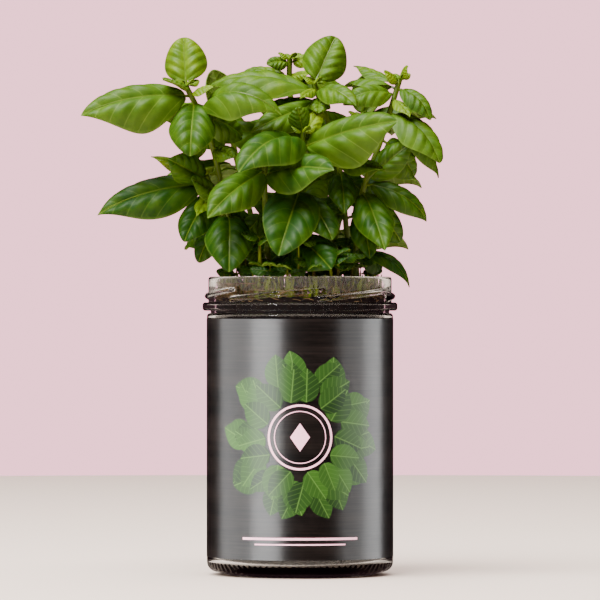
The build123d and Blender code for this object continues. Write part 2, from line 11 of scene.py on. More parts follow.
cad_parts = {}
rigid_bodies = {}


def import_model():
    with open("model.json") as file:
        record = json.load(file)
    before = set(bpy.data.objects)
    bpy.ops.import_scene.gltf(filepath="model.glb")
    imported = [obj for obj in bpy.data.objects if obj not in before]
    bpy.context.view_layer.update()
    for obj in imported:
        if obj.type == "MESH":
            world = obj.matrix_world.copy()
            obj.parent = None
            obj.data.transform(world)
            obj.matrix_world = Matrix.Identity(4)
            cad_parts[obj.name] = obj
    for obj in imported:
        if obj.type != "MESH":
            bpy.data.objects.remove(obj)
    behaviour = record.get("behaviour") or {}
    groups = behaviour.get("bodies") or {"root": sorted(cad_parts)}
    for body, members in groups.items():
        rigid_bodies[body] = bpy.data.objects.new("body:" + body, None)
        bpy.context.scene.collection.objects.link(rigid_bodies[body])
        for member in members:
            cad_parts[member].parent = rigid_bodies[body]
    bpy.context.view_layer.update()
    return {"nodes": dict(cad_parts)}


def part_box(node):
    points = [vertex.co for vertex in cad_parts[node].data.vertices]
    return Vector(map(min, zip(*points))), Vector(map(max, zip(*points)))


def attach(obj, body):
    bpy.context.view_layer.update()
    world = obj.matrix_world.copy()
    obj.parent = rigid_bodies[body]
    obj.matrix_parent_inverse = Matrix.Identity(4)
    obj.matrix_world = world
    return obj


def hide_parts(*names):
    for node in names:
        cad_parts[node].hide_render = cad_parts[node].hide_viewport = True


bl_info = {
    "name": "Jar planter with basil",
    "version": (1, 0, 0),
    "blender": (4, 5, 0),
    "location": "View3D > Sidebar > Planter",
    "description": "Dresses a glass jar planter: jar, label, coir, roots, stems, leaves and stage",
    "category": "Object",
}

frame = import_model()

# Millimetres are used for everything that is measured on the jar and the plant.
MM = 0.001
NEAR = 0.001 * MM
SHARP = math.radians(50)

# Sizes of the jar and the label that the frame doesn't show, with angles in degrees
LABEL_THICKNESS = 0.1
LABEL_GLUE = 0.05
LABEL_SEAM = 4.0
PLUG_CLEARANCE = 0.3
NECK_SET_IN = 0.6
BEAD_HEIGHT = 3.6
GROOVE_DEPTH = 1.6
GROOVE_HEIGHT = 1.0
HEEL_WIDTH = 9.5
HEEL_RISE = 2.4
STANDING_RING_WIDTH = 5.0
PUSH_UP = 2.0
KNURL_INSIDE_RING = 1.0
KNURL_LENGTH = 6.0
LUG_SPAN = 66.0
LUG_RISE = 4.2
LUG_BEARING = -140.0
LUG_TAPER = 5.0
LUG_ABOVE_BEAD = 1.4

# How near to a face a point counts as lying on it
SLACK = 0.1

# Rounding of the jar's edges
HEEL_ROUND = 3.1
FLOOR_ROUND = 4.0
SHOULDER_ROUND = 1.4
BEAD_ROUND = 1.2
LIP_ROUND = 1.1

# Longest runs of the jar's section: at the lugs, on the standing ring and elsewhere
LUG_RUN = 0.28
RING_RUN = 1.2
PLAIN_RUN = 12.0
STEPS_PER_KNURL = 8

# Jar and what fills it, read from the frame
_, JAR_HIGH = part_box("glass_jar")
LABEL_LOW, LABEL_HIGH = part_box("wrap_label")
PLUG_LOW, PLUG_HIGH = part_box("coir_plug")
_, FIBRE_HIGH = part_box("fibre_mulch")
rim = JAR_HIGH.z / MM
bead_radius = JAR_HIGH.x / MM
label_radius = LABEL_HIGH.x / MM
plug_radius = PLUG_HIGH.x / MM
plug_foot = PLUG_LOW.z / MM
plug_top = PLUG_HIGH.z / MM
tuft_top = FIBRE_HIGH.z / MM
barrel_radius = label_radius - LABEL_THICKNESS - LABEL_GLUE
bore_radius = plug_radius + PLUG_CLEARANCE
neck_radius = barrel_radius - NECK_SET_IN
groove_radius = barrel_radius - GROOVE_DEPTH
jar_floor = plug_foot - PLUG_CLEARANCE
bead_top = plug_top
bead_foot = bead_top - BEAD_HEIGHT
shoulder = bead_foot - GROOVE_HEIGHT
ring_outer = barrel_radius - HEEL_WIDTH
ring_inner = ring_outer - STANDING_RING_WIDTH

# Print on the label: the wreath's height above the table, and how far layers of ink stand off the paper
PRINT_MIDDLE = 60.0
LEAF_INK_LIFT = 0.02
LEAF_INK_STEP = 0.004
LINE_INK_LIFT = 0.25
PRINTED_LEAF_LENGTHS = (12.5, 15.5)
PRINTED_LEAF_WIDTH_SHARES = (0.7, 0.82)
PRINTED_LEAF_TONES = (0.0, 0.6)
PRINTED_LEAF_SWAY = 12
DIAMOND_SIDE = 8.4
DIAMOND_NARROWING = 0.7

# Coir plug, fibre mat and loose fibres
CRUMB_SIZE = 3.5
MAT_DEPTH = 2.2
MAT_EDGE_RISE = 0.4
MAT_CLUMP_SIZE = 4.0
TUFT_WIDTH = 4.5
TUFT_RINGS = (31.0, 35.5)
TUFT_BEARINGS = (204, 224)
TUFT_CLIMBS = (0.6, 1.8)
STRAND_CLIMBS = (-0.1, 0.35)
STRAND_CLIMB_CHANGES = (-0.3, 0.25)
STRAND_TURNS = (-0.6, 0.6)
STRAND_FEET = (0.5, 4.0)
STRAND_STEPS = (1.2, 3.2)
STRAND_POINTS = 6
strand_ring = plug_radius - 0.5
strand_limit = plug_radius - 0.3
strand_lowest = plug_top + 0.4
strand_highest = tuft_top + 1.5

# Thin shoots and sprigs in the neck, and the gap at the front that they leave open
SHOOT_RINGS = (30.5, 34.5)
INNER_SHOOT_RINGS = (20, 29)
SHOOT_HEIGHTS = (8.0, 12.6)
SHOOT_RADII = (0.5, 1.1)
SHOOT_LEAN = 2.0
SHOOT_POINTS = 7
SPRIG_RINGS = (25, 29)
INNER_SPRIG_RINGS = (12, 24)
LOW_SPRIG_HEIGHTS = (3.5, 7)
HIGH_SPRIG_HEIGHTS = (9, 17)
GAP_HALF_WIDTH = 13.0
GAP_FRONT = -30.5
GAP_BACK = -13.0
GAP_EDGE_RING = 33.0
shoot_limit = plug_radius - 1.3

# Planting rings, stems, stalks, seed leaves, and the young leaves at a bud and in two tiers on a sprig
INNER_RING = 12.0
RIM_MARGIN = 13.0
outer_ring = plug_radius - RIM_MARGIN
LEAF_PAST_BEAD = 5.5
STEM_RADIUS = 1.2
SEEDLING_RADIUS = 0.8
SEED_LEAF_SPREAD = 5.5
SEED_LEAF_RISE = 1.5
SEED_LEAF_WIDTH = 4.5
SEED_LEAF_ARCH = 0.6
SEED_LEAF_DROOP = 0.4
SEED_LEAF_FACING = (0, -0.6, 0.8)
SPRIG_SIZE = 1.6
FRESH_ABOVE_RIM = 20.0
BUD_REACH = 5.5
BUD_RISE = 4.0
BUD_ABOVE_NODE = 1.0
BUD_WIDTH = 5.0
BUD_FACING = (0, -0.5, 0.85)
BUD_ARCH = 0.8
BUD_DROOP = 0.5
BUD_TURNS = (25, 115, 205, 295)
SPRIG_TIERS = ((0.0, 0), (-2.5, 90))
MIDRIB_SHARE = 0.92
MIDRIB_TAPER = 0.82
STALK_LENGTH = 3.5
STALK_THICKNESS = 1.3
YOUNG_STALK_LENGTH = 1.5
YOUNG_STALK_THICKNESS = 0.8
YOUNG_WIDTH = 9.5
LONGEST_STALK_SHARE = 0.16
STALK_SEAT = 0.6

# Leaf's form: shares of its length, then its side veins, then its relief in shares of its width
WIDEST_SHARE = 0.8
TIP_HANG = 0.05
SIDE_VEINS = 5
VEIN_LEAN = 0.4
VEIN_BOW = 0.56
BLADE_PUFF = 0.06
BLADE_QUILT = 0.04
BLADE_GROOVE = 0.03
BLADE_WAVE = 0.02
BLADE_CURL = 0.12

# Leaves get paler up to a height: the darker low leaves are painted shade under the bush. Young leaves well
# over the rim are palest.
PAINTED_SHADE_ENDS_ABOVE_RIM = 90.0
FRESH_TONES = (0.6, 0.95)
FULL_TONES = (-0.1, 0.12)

# A stem stands on a planting ring at a bearing in degrees, and passes nodes that its leaves grow from.
# A node and a leaf's tip are given in millimetres as (right, back, above the rim).
Stem = namedtuple("Stem", "ring bearing nodes")
STEMS = {
    "left": Stem(
        outer_ring,
        192,
        [(-30.5, -8.5, 26), (-33.5, -10, 38), (-37, -14, 55), (-43, -16.5, 70.5), (-48, -18.5, 80)],
    ),
    "left_low": Stem(outer_ring, 160, [(-28, 4, 16), (-33.5, 1, 27), (-40, -4, 42.5)]),
    "centre_left": Stem(INNER_RING, 200, [(-14, -8, 10), (-15, -13, 29), (-15, -20, 45.5)]),
    "centre": Stem(INNER_RING, 275, [(-1, -14, 16), (0, -16, 37), (1.3, -20, 60)]),
    "top_right": Stem(
        outer_ring, 30, [(20.5, 8, 12), (19.5, 4, 27), (17, 0, 47), (14, -3, 61), (6.5, -4, 81.5)]
    ),
    "right": Stem(
        outer_ring,
        -4,
        [(24, -4, 13), (25, -6, 29), (28, -8, 41), (35, -5, 59), (38.5, -2, 70.5), (42.5, 0, 83.5)],
    ),
    "top_back": Stem(INNER_RING, 88, [(-1, 15, 30), (-3, 17, 62), (-4.7, 17, 86.5), (-4.5, 16.5, 93)]),
    "back_left": Stem(outer_ring, 125, [(-20, 22, 22), (-27, 24, 48), (-31, 24, 68)]),
    "back_right": Stem(outer_ring, 62, [(16, 24, 20), (22, 27, 46), (26, 27, 68)]),
}

# A leaf grows from a node of its stem to its tip. Its upper side looks along facing, its midrib bows up by
# arch and its edges hang down by droop. Down is how far below the node it is seated, along the stem.
Leaf = namedtuple("Leaf", "node down tip width facing arch droop")
LEAVES = {
    "left_crown": ("left", [
        Leaf(4, -1.0, (-50, -10, 103), 21, (-0.1, -0.95, 0.25), 4, 3),
        Leaf(4, 1.6, (-58, -30, 84), 10, (-0.4, -0.6, 0.7), 1, -1),
        Leaf(4, 2.8, (-37, -24, 80.5), 8, (0.2, -0.5, 0.85), 1.5, 1),
        Leaf(4, 3.4, (-93.5, -30, 69), 25, (0, -0.75, 0.65), 6, 7),
        Leaf(4, 6.4, (-46.5, -38, 51), 20, (0, -0.9, 0.45), 5, 3),
    ]),
    "left_side": ("left", [
        Leaf(3, 0, (-7, -36, 69), 22, (0, -0.65, 0.75), 13, 5),
        Leaf(3, 2.0, (-24, -6, 60), 16, (0, -0.8, 0.6), 3, 2),
        Leaf(3, 4.0, (-47, -4, 50), 11, (-0.5, -0.85, 0), 1, 1),
        Leaf(2, 0, (-28, -25, 51), 10, (0, -0.8, 0.5), 1, 1),
        Leaf(1, 0, (-21, -18, 44), 10, (0.3, -0.8, 0.5), 1, 1),
        Leaf(1, 1.6, (-28, -27, 31), 11, (0.2, -0.7, 0.7), 1, 1),
        Leaf(1, 5.6, (-46, -22, 42), 12, (-0.2, -0.8, 0.6), 1, 1),
        Leaf(0, 0, (-30, -36, 2), 21, (0.05, -0.97, 0.2), 8, 3),
    ]),
    "left_low": ("left_low", [
        Leaf(2, -0.8, (-64, -4, 52), 8, (0, -0.7, 0.7), 1, 1),
        Leaf(2, 1.0, (-56, -22, 50), 14, (-0.2, -0.95, 0.1), 2, 1),
        Leaf(2, 3.0, (-87.3, -16, 27.3), 22, (-0.1, -0.8, 0.6), 6, 4),
        Leaf(2, 6.6, (-44, -27, 26), 8, (0, -0.7, 0.7), 1, 1),
        Leaf(2, 7.6, (-49.5, -20, 15), 16, (-0.25, -0.95, 0.1), 4, 2),
        Leaf(1, 0, (-44, -2, 6), 12, (-0.3, -0.9, 0.2), 2, 1),
        Leaf(0, 0, (-50, 14, 12), 16, (-0.5, 0.1, 0.85), 5, 3),
    ]),
    "centre_left": ("centre_left", [
        Leaf(2, -0.8, (-24, 4, 53), 12, (-0.1, -0.9, 0.4), 2, 1),
        Leaf(2, 0.6, (-39, -47, 25.5), 19, (0.1, -0.75, 0.65), 4, 2),
        Leaf(2, 2.4, (14.2, -48, 45), 23, (0, -0.8, 0.6), 4, 3),
        Leaf(1, 0, (-13, -26, 13), 10, (-0.1, -0.95, 0.2), 2, 1),
        Leaf(0, -0.4, (-26, -11.5, 10), 11, (0, -0.7, 0.7), 1, 1),
        Leaf(1, 1.8, (-25, -12, 15), 12, (-0.3, -0.9, 0.25), 2, 1),
        Leaf(0, 3.6, (-17.5, -28, 2), 10, (0, -0.9, 0.4), 2, 1),
    ]),
    "centre_crown": ("centre", [
        Leaf(2, -1.0, (-1, -26, 72), 15, (0, -0.9, 0.4), 2, 2),
        Leaf(2, 0.2, (9, -12, 72), 8, (0, -0.8, 0.6), 1, 1),
        Leaf(2, 3.4, (-26, -52, 44), 25, (-0.1, -0.6, 0.8), 10, 5),
        Leaf(2, 5.2, (41, -40, 66), 25, (0.05, -0.85, 0.5), 4, 7),
    ]),
    "centre_low": ("centre", [
        Leaf(1, 0, (-9, -48, 9), 24, (0.05, -0.95, 0.3), 6, -2),
        Leaf(1, 1.8, (14, -36, 16), 17, (0.35, -0.9, 0.2), 4, 2),
        Leaf(1, 3.6, (10, 4, 42), 15, (0, -0.7, 0.7), 4, 2),
        Leaf(1, 6.0, (-13, -2, 20), 14, (-0.2, -0.9, 0.35), 3, 2),
        Leaf(0, 0, (13, -40, 3.5), 20, (0.05, -0.95, 0.25), 4, 2),
        Leaf(0, 1.8, (-6, 6, 16), 13, (0, -0.3, 0.95), 3, 2),
        Leaf(0, 6.0, (-5, -25, 3), 9, (0, -0.9, 0.4), 1, 1),
    ]),
    "top_right_crown": ("top_right", [
        Leaf(4, -1.0, (15.5, 4, 104), 23, (0.05, -0.97, 0.2), 4, 3),
        Leaf(4, 1.0, (0, -20, 76), 6, (0, -0.7, 0.7), 1, 1),
        Leaf(4, 2.0, (24, -22, 73), 14, (0, -0.6, 0.8), 5, 2),
        Leaf(4, 3.6, (-41.7, 3, 82), 22, (0, -0.35, 0.93), 8, 4),
        Leaf(4, 5.4, (8, -17, 70), 10, (0, -0.95, 0.2), 2, 1),
        Leaf(4, 7.0, (-21, -21, 62), 15, (0.1, -0.8, 0.6), 2, 2),
        Leaf(4, 9.5, (-17, -2, 71), 17, (0, -0.7, 0.7), 3, 3),
    ]),
    "top_right_low": ("top_right", [
        Leaf(3, 0, (34, 1, 64), 16, (0.1, -0.7, 0.7), 4, 2),
        Leaf(3, 1.8, (-12, 3, 55), 16, (0, -0.7, 0.7), 4, 2),
        Leaf(2, 0, (36, -27, 46), 11, (0, -0.75, 0.65), 2, 1),
        Leaf(2, 1.8, (19, -24, 27), 13, (0.1, -0.95, 0.2), 3, 1),
        Leaf(1, 0, (6, -4, 24), 10, (0, -0.9, 0.3), 2, 1),
        Leaf(1, 1.6, (40, 12, 22), 14, (0.3, -0.5, 0.8), 4, 2),
        Leaf(0, 0, (13, -8, 2.5), 9, (0, -0.9, 0.3), 1, 1),
        Leaf(2, 3.6, (31, 8, 31), 16, (0.3, -0.8, 0.5), 3, 2),
    ]),
    "right_crown": ("right", [
        Leaf(5, -1.0, (46, -6, 90.5), 6, (0, -0.7, 0.7), 1, 1),
        Leaf(5, 0.2, (36, -6, 88), 7, (0, -0.7, 0.7), 1, 1),
        Leaf(5, 1.2, (23.2, 16, 92), 10, (0.2, -0.3, 0.93), 1, 1),
        Leaf(5, 2.8, (18.5, 11, 82.5), 13, (0, 0.25, 0.97), 3, 2),
        Leaf(5, 2.8, (56, -9, 67), 12, (0.5, -0.65, 0.55), 5, 2),
        Leaf(5, 5.6, (18, -10, 74), 15, (0, -0.6, 0.8), 5, 2),
        Leaf(5, 7.4, (47, -15, 68.5), 7, (0.4, -0.8, 0.3), 1, 1),
    ]),
    "right_side": ("right", [
        Leaf(4, 0, (60, -14, 48.5), 21, (0.5, -0.5, 0.7), 6, 3),
        Leaf(4, 1.8, (61, 14, 43), 16, (0.2, -0.5, 0.85), 4, 2),
        Leaf(4, 3.6, (40, 28, 62), 17, (0, 0.3, 0.95), 5, 3),
        Leaf(3, 0, (50, 4, 43), 17, (0.3, -0.85, 0.4), 3, 2),
        Leaf(2, 0, (47, -11, 57), 13, (0.2, -0.9, 0.4), 2, 2),
    ]),
    "right_low": ("right", [
        Leaf(2, 1.2, (55.5, -8, 24), 15, (0.5, -0.65, 0.55), 6, 2),
        Leaf(2, 4.8, (36, -36, 11), 17, (0.1, -0.97, 0.2), 5, 2),
        Leaf(2, 5.6, (44, 0, 15), 16, (0.3, -0.9, 0.3), 2, 2),
        Leaf(1, 0, (30, -21, 8), 12, (0.3, -0.95, 0), 2, 1),
        Leaf(0, -0.6, (36, 10, 3), 14, (0.2, -0.8, 0.55), 2, 1),
        Leaf(0, 3.4, (bead_radius + LEAF_PAST_BEAD, -8, -4.5), 10, (0.7, -0.55, 0.45), 8, 1),
    ]),
    "top_back": ("top_back", [
        Leaf(3, 0.3, (-14.5, 12, 92), 10, (0, -0.8, 0.6), 2, 1),
        Leaf(3, 0.3, (5, 14, 95), 9, (0, -0.8, 0.6), 1, 1),
        Leaf(2, 0, (4, 11, 88), 6, (0, -0.8, 0.6), 1, 1),
        Leaf(2, 0, (-24.5, 21, 90), 12, (0, -0.3, 0.95), 2, 1),
        Leaf(2, 1.8, (-8, 40, 84), 17, (0, 0.3, 0.95), 4, 2),
        Leaf(2, 3.6, (20, 24, 82), 16, (0.1, -0.2, 0.97), 4, 2),
    ]),
    "top_back_low": ("top_back", [
        Leaf(1, 0, (-26, 40, 62), 19, (-0.1, 0.5, 0.85), 6, 3),
        Leaf(1, 1.8, (20, 42, 58), 19, (0.1, 0.5, 0.85), 6, 3),
        Leaf(0, 0, (-22, 38, 31), 16, (0, 0.7, 0.7), 5, 3),
        Leaf(0, 1.8, (19, 42, 26), 16, (0, 0.7, 0.7), 5, 3),
        Leaf(1, 3.6, (-36, 8, 63), 19, (0, -0.75, 0.65), 4, 3),
        Leaf(1, 5.4, (16, 9, 56), 17, (0, -0.75, 0.65), 3, 2),
        Leaf(0, 3.6, (-22, 2, 34), 17, (0, -0.8, 0.6), 3, 2),
        Leaf(0, 5.4, (17, 12, 33), 17, (0, -0.8, 0.6), 3, 2),
        Leaf(0, 16, (-13, 3, 7), 13, (0, -0.8, 0.6), 2, 1),
        Leaf(0, 18, (10, 4, 5), 13, (0, -0.8, 0.6), 2, 1),
    ]),
    "back_left": ("back_left", [
        Leaf(2, -0.8, (-38, 20, 90), 14, (-0.3, 0.9, 0.3), 2, 2),
        Leaf(2, 0.8, (-64, 22, 70), 21, (-0.2, 0.3, 0.93), 6, 3),
        Leaf(2, 2.6, (-33, 55, 64), 20, (0, 0.4, 0.9), 6, 3),
        Leaf(1, 0, (-62, 24, 40), 20, (-0.4, 0.3, 0.85), 5, 3),
        Leaf(1, 1.8, (-32, 54, 38), 20, (0, 0.6, 0.8), 5, 3),
        Leaf(0, 0, (-50, 36, 14), 19, (-0.4, 0.5, 0.75), 5, 3),
        Leaf(0, 1.8, (-15, 50, 9), 18, (0, 0.7, 0.7), 5, 3),
        Leaf(1, 3.6, (-8, 9, 46), 19, (0.1, -0.85, 0.5), 3, 2),
        Leaf(2, 4.4, (-52, 8, 58), 18, (-0.2, -0.8, 0.6), 4, 2),
        Leaf(0, 3.6, (-36, 8, 30), 17, (-0.2, -0.85, 0.5), 3, 2),
    ]),
    "back_right": ("back_right", [
        Leaf(2, -0.8, (33, 24, 90), 14, (0.3, 0.9, 0.3), 2, 2),
        Leaf(2, 0.8, (60, 32, 70), 18, (0.2, 0.3, 0.93), 6, 3),
        Leaf(2, 3.2, (27, 56, 63), 18, (0, 0.4, 0.9), 6, 3),
        Leaf(1, 0, (54, 35, 40), 18, (0.4, 0.3, 0.85), 5, 3),
        Leaf(1, 1.8, (20, 56, 36), 17, (0, 0.6, 0.8), 5, 3),
        Leaf(0, 0, (48, 35, 13), 18, (0.4, 0.5, 0.75), 5, 3),
        Leaf(0, 1.8, (12, 52, 9), 18, (0, 0.7, 0.7), 5, 3),
        Leaf(2, 4.4, (7, 12, 68), 18, (0, -0.75, 0.65), 3, 2),
        Leaf(1, 4.6, (42, 13, 32), 17, (0.2, -0.8, 0.6), 3, 2),
        Leaf(1, 6.2, (5, 17, 50), 16, (0, -0.8, 0.6), 3, 2),
        Leaf(0, 5.0, (33, 16, 10), 13, (0.2, -0.8, 0.6), 3, 2),
        Leaf(0, 6.4, (2, 16, 11), 15, (0, -0.8, 0.6), 3, 2),
    ]),
}

# A seedling stands on a ring at a bearing, up to a height above the rim, or below it where that is negative.
# Its two leaves point along turn and the other way.
Seedling = namedtuple("Seedling", "ring bearing height turn")
SEEDLINGS = [
    Seedling(27.5, 212, -3, 212),
    Seedling(26, 228, -4, 228),
    Seedling(26, 314, -3, 314),
    Seedling(27, 336, -4, 66),
    Seedling(12.4, 238, -5, 200),
    Seedling(14, 325, -5, 10),
    Seedling(15, 150, -4, 60),
    Seedling(11, 40, -5, 130),
]


def linear(code):
    """An sRGB hex colour as linear RGBA."""
    parts = [int(code[place:place + 2], 16) / 255 for place in (1, 3, 5)]
    return [part / 12.92 if part <= 0.04045 else ((part + 0.055) / 1.055) ** 2.4 for part in parts] + [1.0]


def colour(name, description, code):
    """A colour that a user may change, given as sRGB hex."""
    return FloatVectorProperty(
        name=name, description=description, subtype="COLOR", size=4, min=0, max=1, default=linear(code),
    )


def measure(name, description, metres):
    """A length that a user may change."""
    return FloatProperty(name=name, description=description, unit="LENGTH", default=metres)


def feed(node, inputs):
    """Sets a node's inputs: a socket is linked, anything else becomes the input's own value."""
    for key, value in inputs.items():
        if isinstance(value, bpy.types.NodeSocket):
            node.id_data.links.new(value, node.inputs[key])
        else:
            node.inputs[key].default_value = value


def add_node(tree, kind, inputs, **settings):
    """Adds a node with its settings and its inputs."""
    node = tree.nodes.new(kind)
    for name, value in settings.items():
        setattr(node, name, value)
    feed(node, inputs)
    return node


def new_material(name):
    """A material with its node tree and its Principled shader."""
    made = bpy.data.materials.new(name)
    made.use_nodes = True
    return made, made.node_tree, made.node_tree.nodes["Principled BSDF"]


def new_piece(name, bm, body, slot, materials, *nodes):
    """Makes a bmesh a smooth piece that rides on a body, takes its materials and stands for CAD nodes. The
    slot is not used.
    """
    for face in bm.faces:
        face.smooth = True
    for edge in bm.edges:
        edge.smooth = edge.calc_face_angle(0.0) < SHARP
    mesh = bpy.data.meshes.new(name)
    bm.to_mesh(mesh)
    bm.free()
    for material in materials:
        mesh.materials.append(material)
    piece = bpy.data.objects.new(name, mesh)
    bpy.context.scene.collection.objects.link(piece)
    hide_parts(*nodes)
    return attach(piece, body)


def edges_of(verts):
    """The edges that meet at some vertices."""
    return list({edge for vert in verts for edge in vert.link_edges})


def faces_of(verts):
    """The faces that meet at some vertices."""
    return list({face for vert in verts for face in vert.link_faces})


def only(items, kind):
    """The items of one bmesh type."""
    return [item for item in items if isinstance(item, kind)]


def lay_map(faces, uv, flat):
    """Gives each corner of some faces its vertex's place on a flat map."""
    for face in faces:
        for loop in face.loops:
            loop[uv].uv = flat[loop.vert]


def tube_lines(name, radius, resolution):
    """A curve that draws its lines as thin round tubes."""
    lines = bpy.data.curves.new(name, "CURVE")
    lines.dimensions = "3D"
    lines.bevel_depth = radius
    lines.bevel_resolution = resolution
    return lines


def mesh_piece(context, name, lines, slot, material):
    """Makes a mesh piece of thin tubes from a curve, riding on the plug."""
    holder = bpy.data.objects.new(f"{name}_line", lines)
    context.scene.collection.objects.link(holder)
    mesh = bpy.data.meshes.new_from_object(holder.evaluated_get(context.evaluated_depsgraph_get()))
    bpy.data.objects.remove(holder)
    bm = bmesh.new()
    bm.from_mesh(mesh)
    bpy.data.meshes.remove(mesh)
    return new_piece(name, bm, "plant_plug", slot, [material])


def finish_node(name, material):
    """Gives a CAD node that is shown as it is a procedural finish."""
    mesh = frame["nodes"][name].data
    mesh.materials.clear()
    mesh.materials.append(material)


def spun_section(corners, steps, run_at):
    """A shell spun about the jar's axis from corners of (radius, height, rounding), in millimetres.

    The first and last corner lie on the axis. Sides are cut into runs no longer than run_at their middle.
    """
    bm = bmesh.new()
    made = [bm.verts.new((radius * MM, 0, height * MM)) for radius, height, _ in corners]
    bm.faces.new(made)
    for vert, (_, _, rounding) in zip(made, corners):
        if rounding:
            bmesh.ops.bevel(
                bm, geom=[vert], offset=rounding * MM, offset_type="OFFSET", segments=6, profile=0.5,
                affect="VERTICES", material=-1,
            )
    bmesh.ops.delete(bm, geom=bm.faces[:], context="FACES_ONLY")
    on_axis = [edge for edge in bm.edges if max(vert.co.x for vert in edge.verts) < NEAR]
    bmesh.ops.delete(bm, geom=on_axis, context="EDGES")
    for edge in bm.edges[:]:
        middle = (edge.verts[0].co + edge.verts[1].co) / 2 / MM
        cuts = int(edge.calc_length() / MM / run_at(middle))
        if cuts:
            bmesh.ops.subdivide_edges(bm, edges=[edge], cuts=cuts)
    bmesh.ops.spin(
        bm, geom=bm.verts[:] + bm.edges[:], axis=(0, 0, 1), cent=(0, 0, 0), steps=steps,
        angle=math.tau, use_merge=True,
    )
    bmesh.ops.remove_doubles(bm, verts=bm.verts[:], dist=NEAR)
    bmesh.ops.recalc_face_normals(bm, faces=bm.faces[:])
    return bm


def bend_round(flat, radius):
    """Lays a point of (arc length from the front, height) on a cylinder about the jar's axis."""
    turn = flat.x / radius
    return Vector((radius * math.sin(turn), -radius * math.cos(turn), flat.y)) * MM


def above_rim(point):
    """A point of the plant, given from the middle of the rim, in the jar's own frame, in millimetres."""
    return Vector((point[0], point[1], rim + point[2]))


def stem_foot(stem):
    """Where a stem stands on the top of the plug."""
    bearing = math.radians(stem.bearing)
    return Vector((stem.ring * math.cos(bearing), stem.ring * math.sin(bearing), plug_top))


def bud_leaf(stem, turn):
    """A young leaf in the bud at the top of a stem, which points along turn."""
    right, back, height = stem.nodes[-1]
    bearing = math.radians(turn)
    tip = (right + BUD_REACH * math.cos(bearing), back + BUD_REACH * math.sin(bearing), height + BUD_RISE)
    return Leaf(-1, -BUD_ABOVE_NODE, tip, BUD_WIDTH, BUD_FACING, BUD_ARCH, BUD_DROOP)


def clear_of_gap(ring, bearing):
    """A planting radius that keeps a foot out of the gap at the front of the neck, in millimetres."""
    foot = stem_foot(Stem(ring, bearing, []))
    in_gap = abs(foot.x) < GAP_HALF_WIDTH and GAP_FRONT < foot.y < GAP_BACK
    return GAP_EDGE_RING if in_gap else ring


def sprigs(count):
    """Small side shoots round the neck whose leaves close the gaps under the bush."""
    chance = Random(7)
    rows = []
    for number in range(count):
        bearing = 360 * (number + chance.uniform(-0.4, 0.4)) / count
        ring = chance.uniform(*(SPRIG_RINGS if number % 2 else INNER_SPRIG_RINGS))
        height = chance.uniform(*(LOW_SPRIG_HEIGHTS if number % 3 else HIGH_SPRIG_HEIGHTS))
        rows.append(Seedling(clear_of_gap(ring, bearing), bearing, height, chance.uniform(0, 180)))
    return rows


def seedling_leaves(seedling, size):
    """A seedling as a stem of one node, with the two leaves that it carries."""
    bearing = math.radians(seedling.bearing)
    right, back = seedling.ring * math.cos(bearing), seedling.ring * math.sin(bearing)
    stem = Stem(seedling.ring, seedling.bearing, [(right, back, seedling.height)])
    pair = []
    for turn in (math.radians(seedling.turn), math.radians(seedling.turn) + math.pi):
        tip = (
            right + size * SEED_LEAF_SPREAD * math.cos(turn),
            back + size * SEED_LEAF_SPREAD * math.sin(turn),
            seedling.height + SEED_LEAF_RISE,
        )
        wide = size * SEED_LEAF_WIDTH
        pair.append(Leaf(0, 0, tip, wide, SEED_LEAF_FACING, SEED_LEAF_ARCH, SEED_LEAF_DROOP))
    return stem, pair


def blade_relief(share, side, breadth, phase):
    """How far a blade rises over its midrib at a place on it, in shares of the leaf's width.

    The quilting follows the side veins that the finish draws on the leaf's map.
    """
    off = abs(side) * breadth
    aside = off / 2
    rib = (share - (VEIN_LEAN + VEIN_BOW * aside) * aside) * SIDE_VEINS
    cushion = abs(math.sin(math.pi * rib)) ** 0.7 * math.sin(math.pi * abs(side)) * breadth
    puff = BLADE_PUFF * math.sin(math.pi * min(off, 1.0)) + BLADE_QUILT * cushion
    groove = BLADE_GROOVE * math.exp(-((off / 0.1) ** 2)) * breadth
    sway = math.sin(9 * share + phase + (0 if side > 0 else 2))
    wave = BLADE_WAVE * breadth * abs(side) ** 3 * sway
    curl = BLADE_CURL * abs(side) ** 4 * breadth
    return puff - groove + wave - curl


class JarSettings(bpy.types.PropertyGroup):
    tint: colour("Glass tint", "Colour of the flint glass", "#fbfdfc")
    lug_count: IntProperty(name="Lugs", description="Slanting lugs round the neck", default=6)
    lug_proud: measure("Lug depth", "How far a lug stands out of the neck", 1.6 * MM)
    lug_height: measure("Lug height", "Height of a lug's section", 2.2 * MM)
    knurl_count: IntProperty(name="Knurls", description="Notches across the heel", default=76)
    knurl_depth: measure("Knurl depth", "Depth of a notch in the heel", 0.5 * MM)


class LabelSettings(bpy.types.PropertyGroup):
    dark: colour("Dark grain", "Printed wood, dark grain", "#060403")
    light: colour("Light grain", "Printed wood, light grain", "#251e1b")
    pink: colour("Pink ink", "Ink of the roundel and rules", "#f0b4c6")
    leaf_dark: colour("Dark green ink", "Printed leaves in shade", "#10240a")
    leaf_light: colour("Light green ink", "Printed leaves in light", "#2e5216")


class CoirSettings(bpy.types.PropertyGroup):
    # Painted shade: both coir colours are darker than damp coir, and stand in for the shade inside the glass.
    dark: colour("Dark coir", "Damp pith", "#050201")
    light: colour("Light coir", "Drier crumbs", "#1f0f05")
    fibre_dark: colour("Dark fibre", "Damp fibres", "#3a2814")
    fibre_light: colour("Light fibre", "Dry fibres", "#96774a")
    strand_count: IntProperty(name="Strands", description="Loose fibres on the mat", default=1500)
    tuft_count: IntProperty(
        name="Tuft", description="Fibres that stand up in a tuft at the left front", default=110,
    )
    strand_radius: measure("Strand radius", "Radius of a loose fibre", 0.14 * MM)


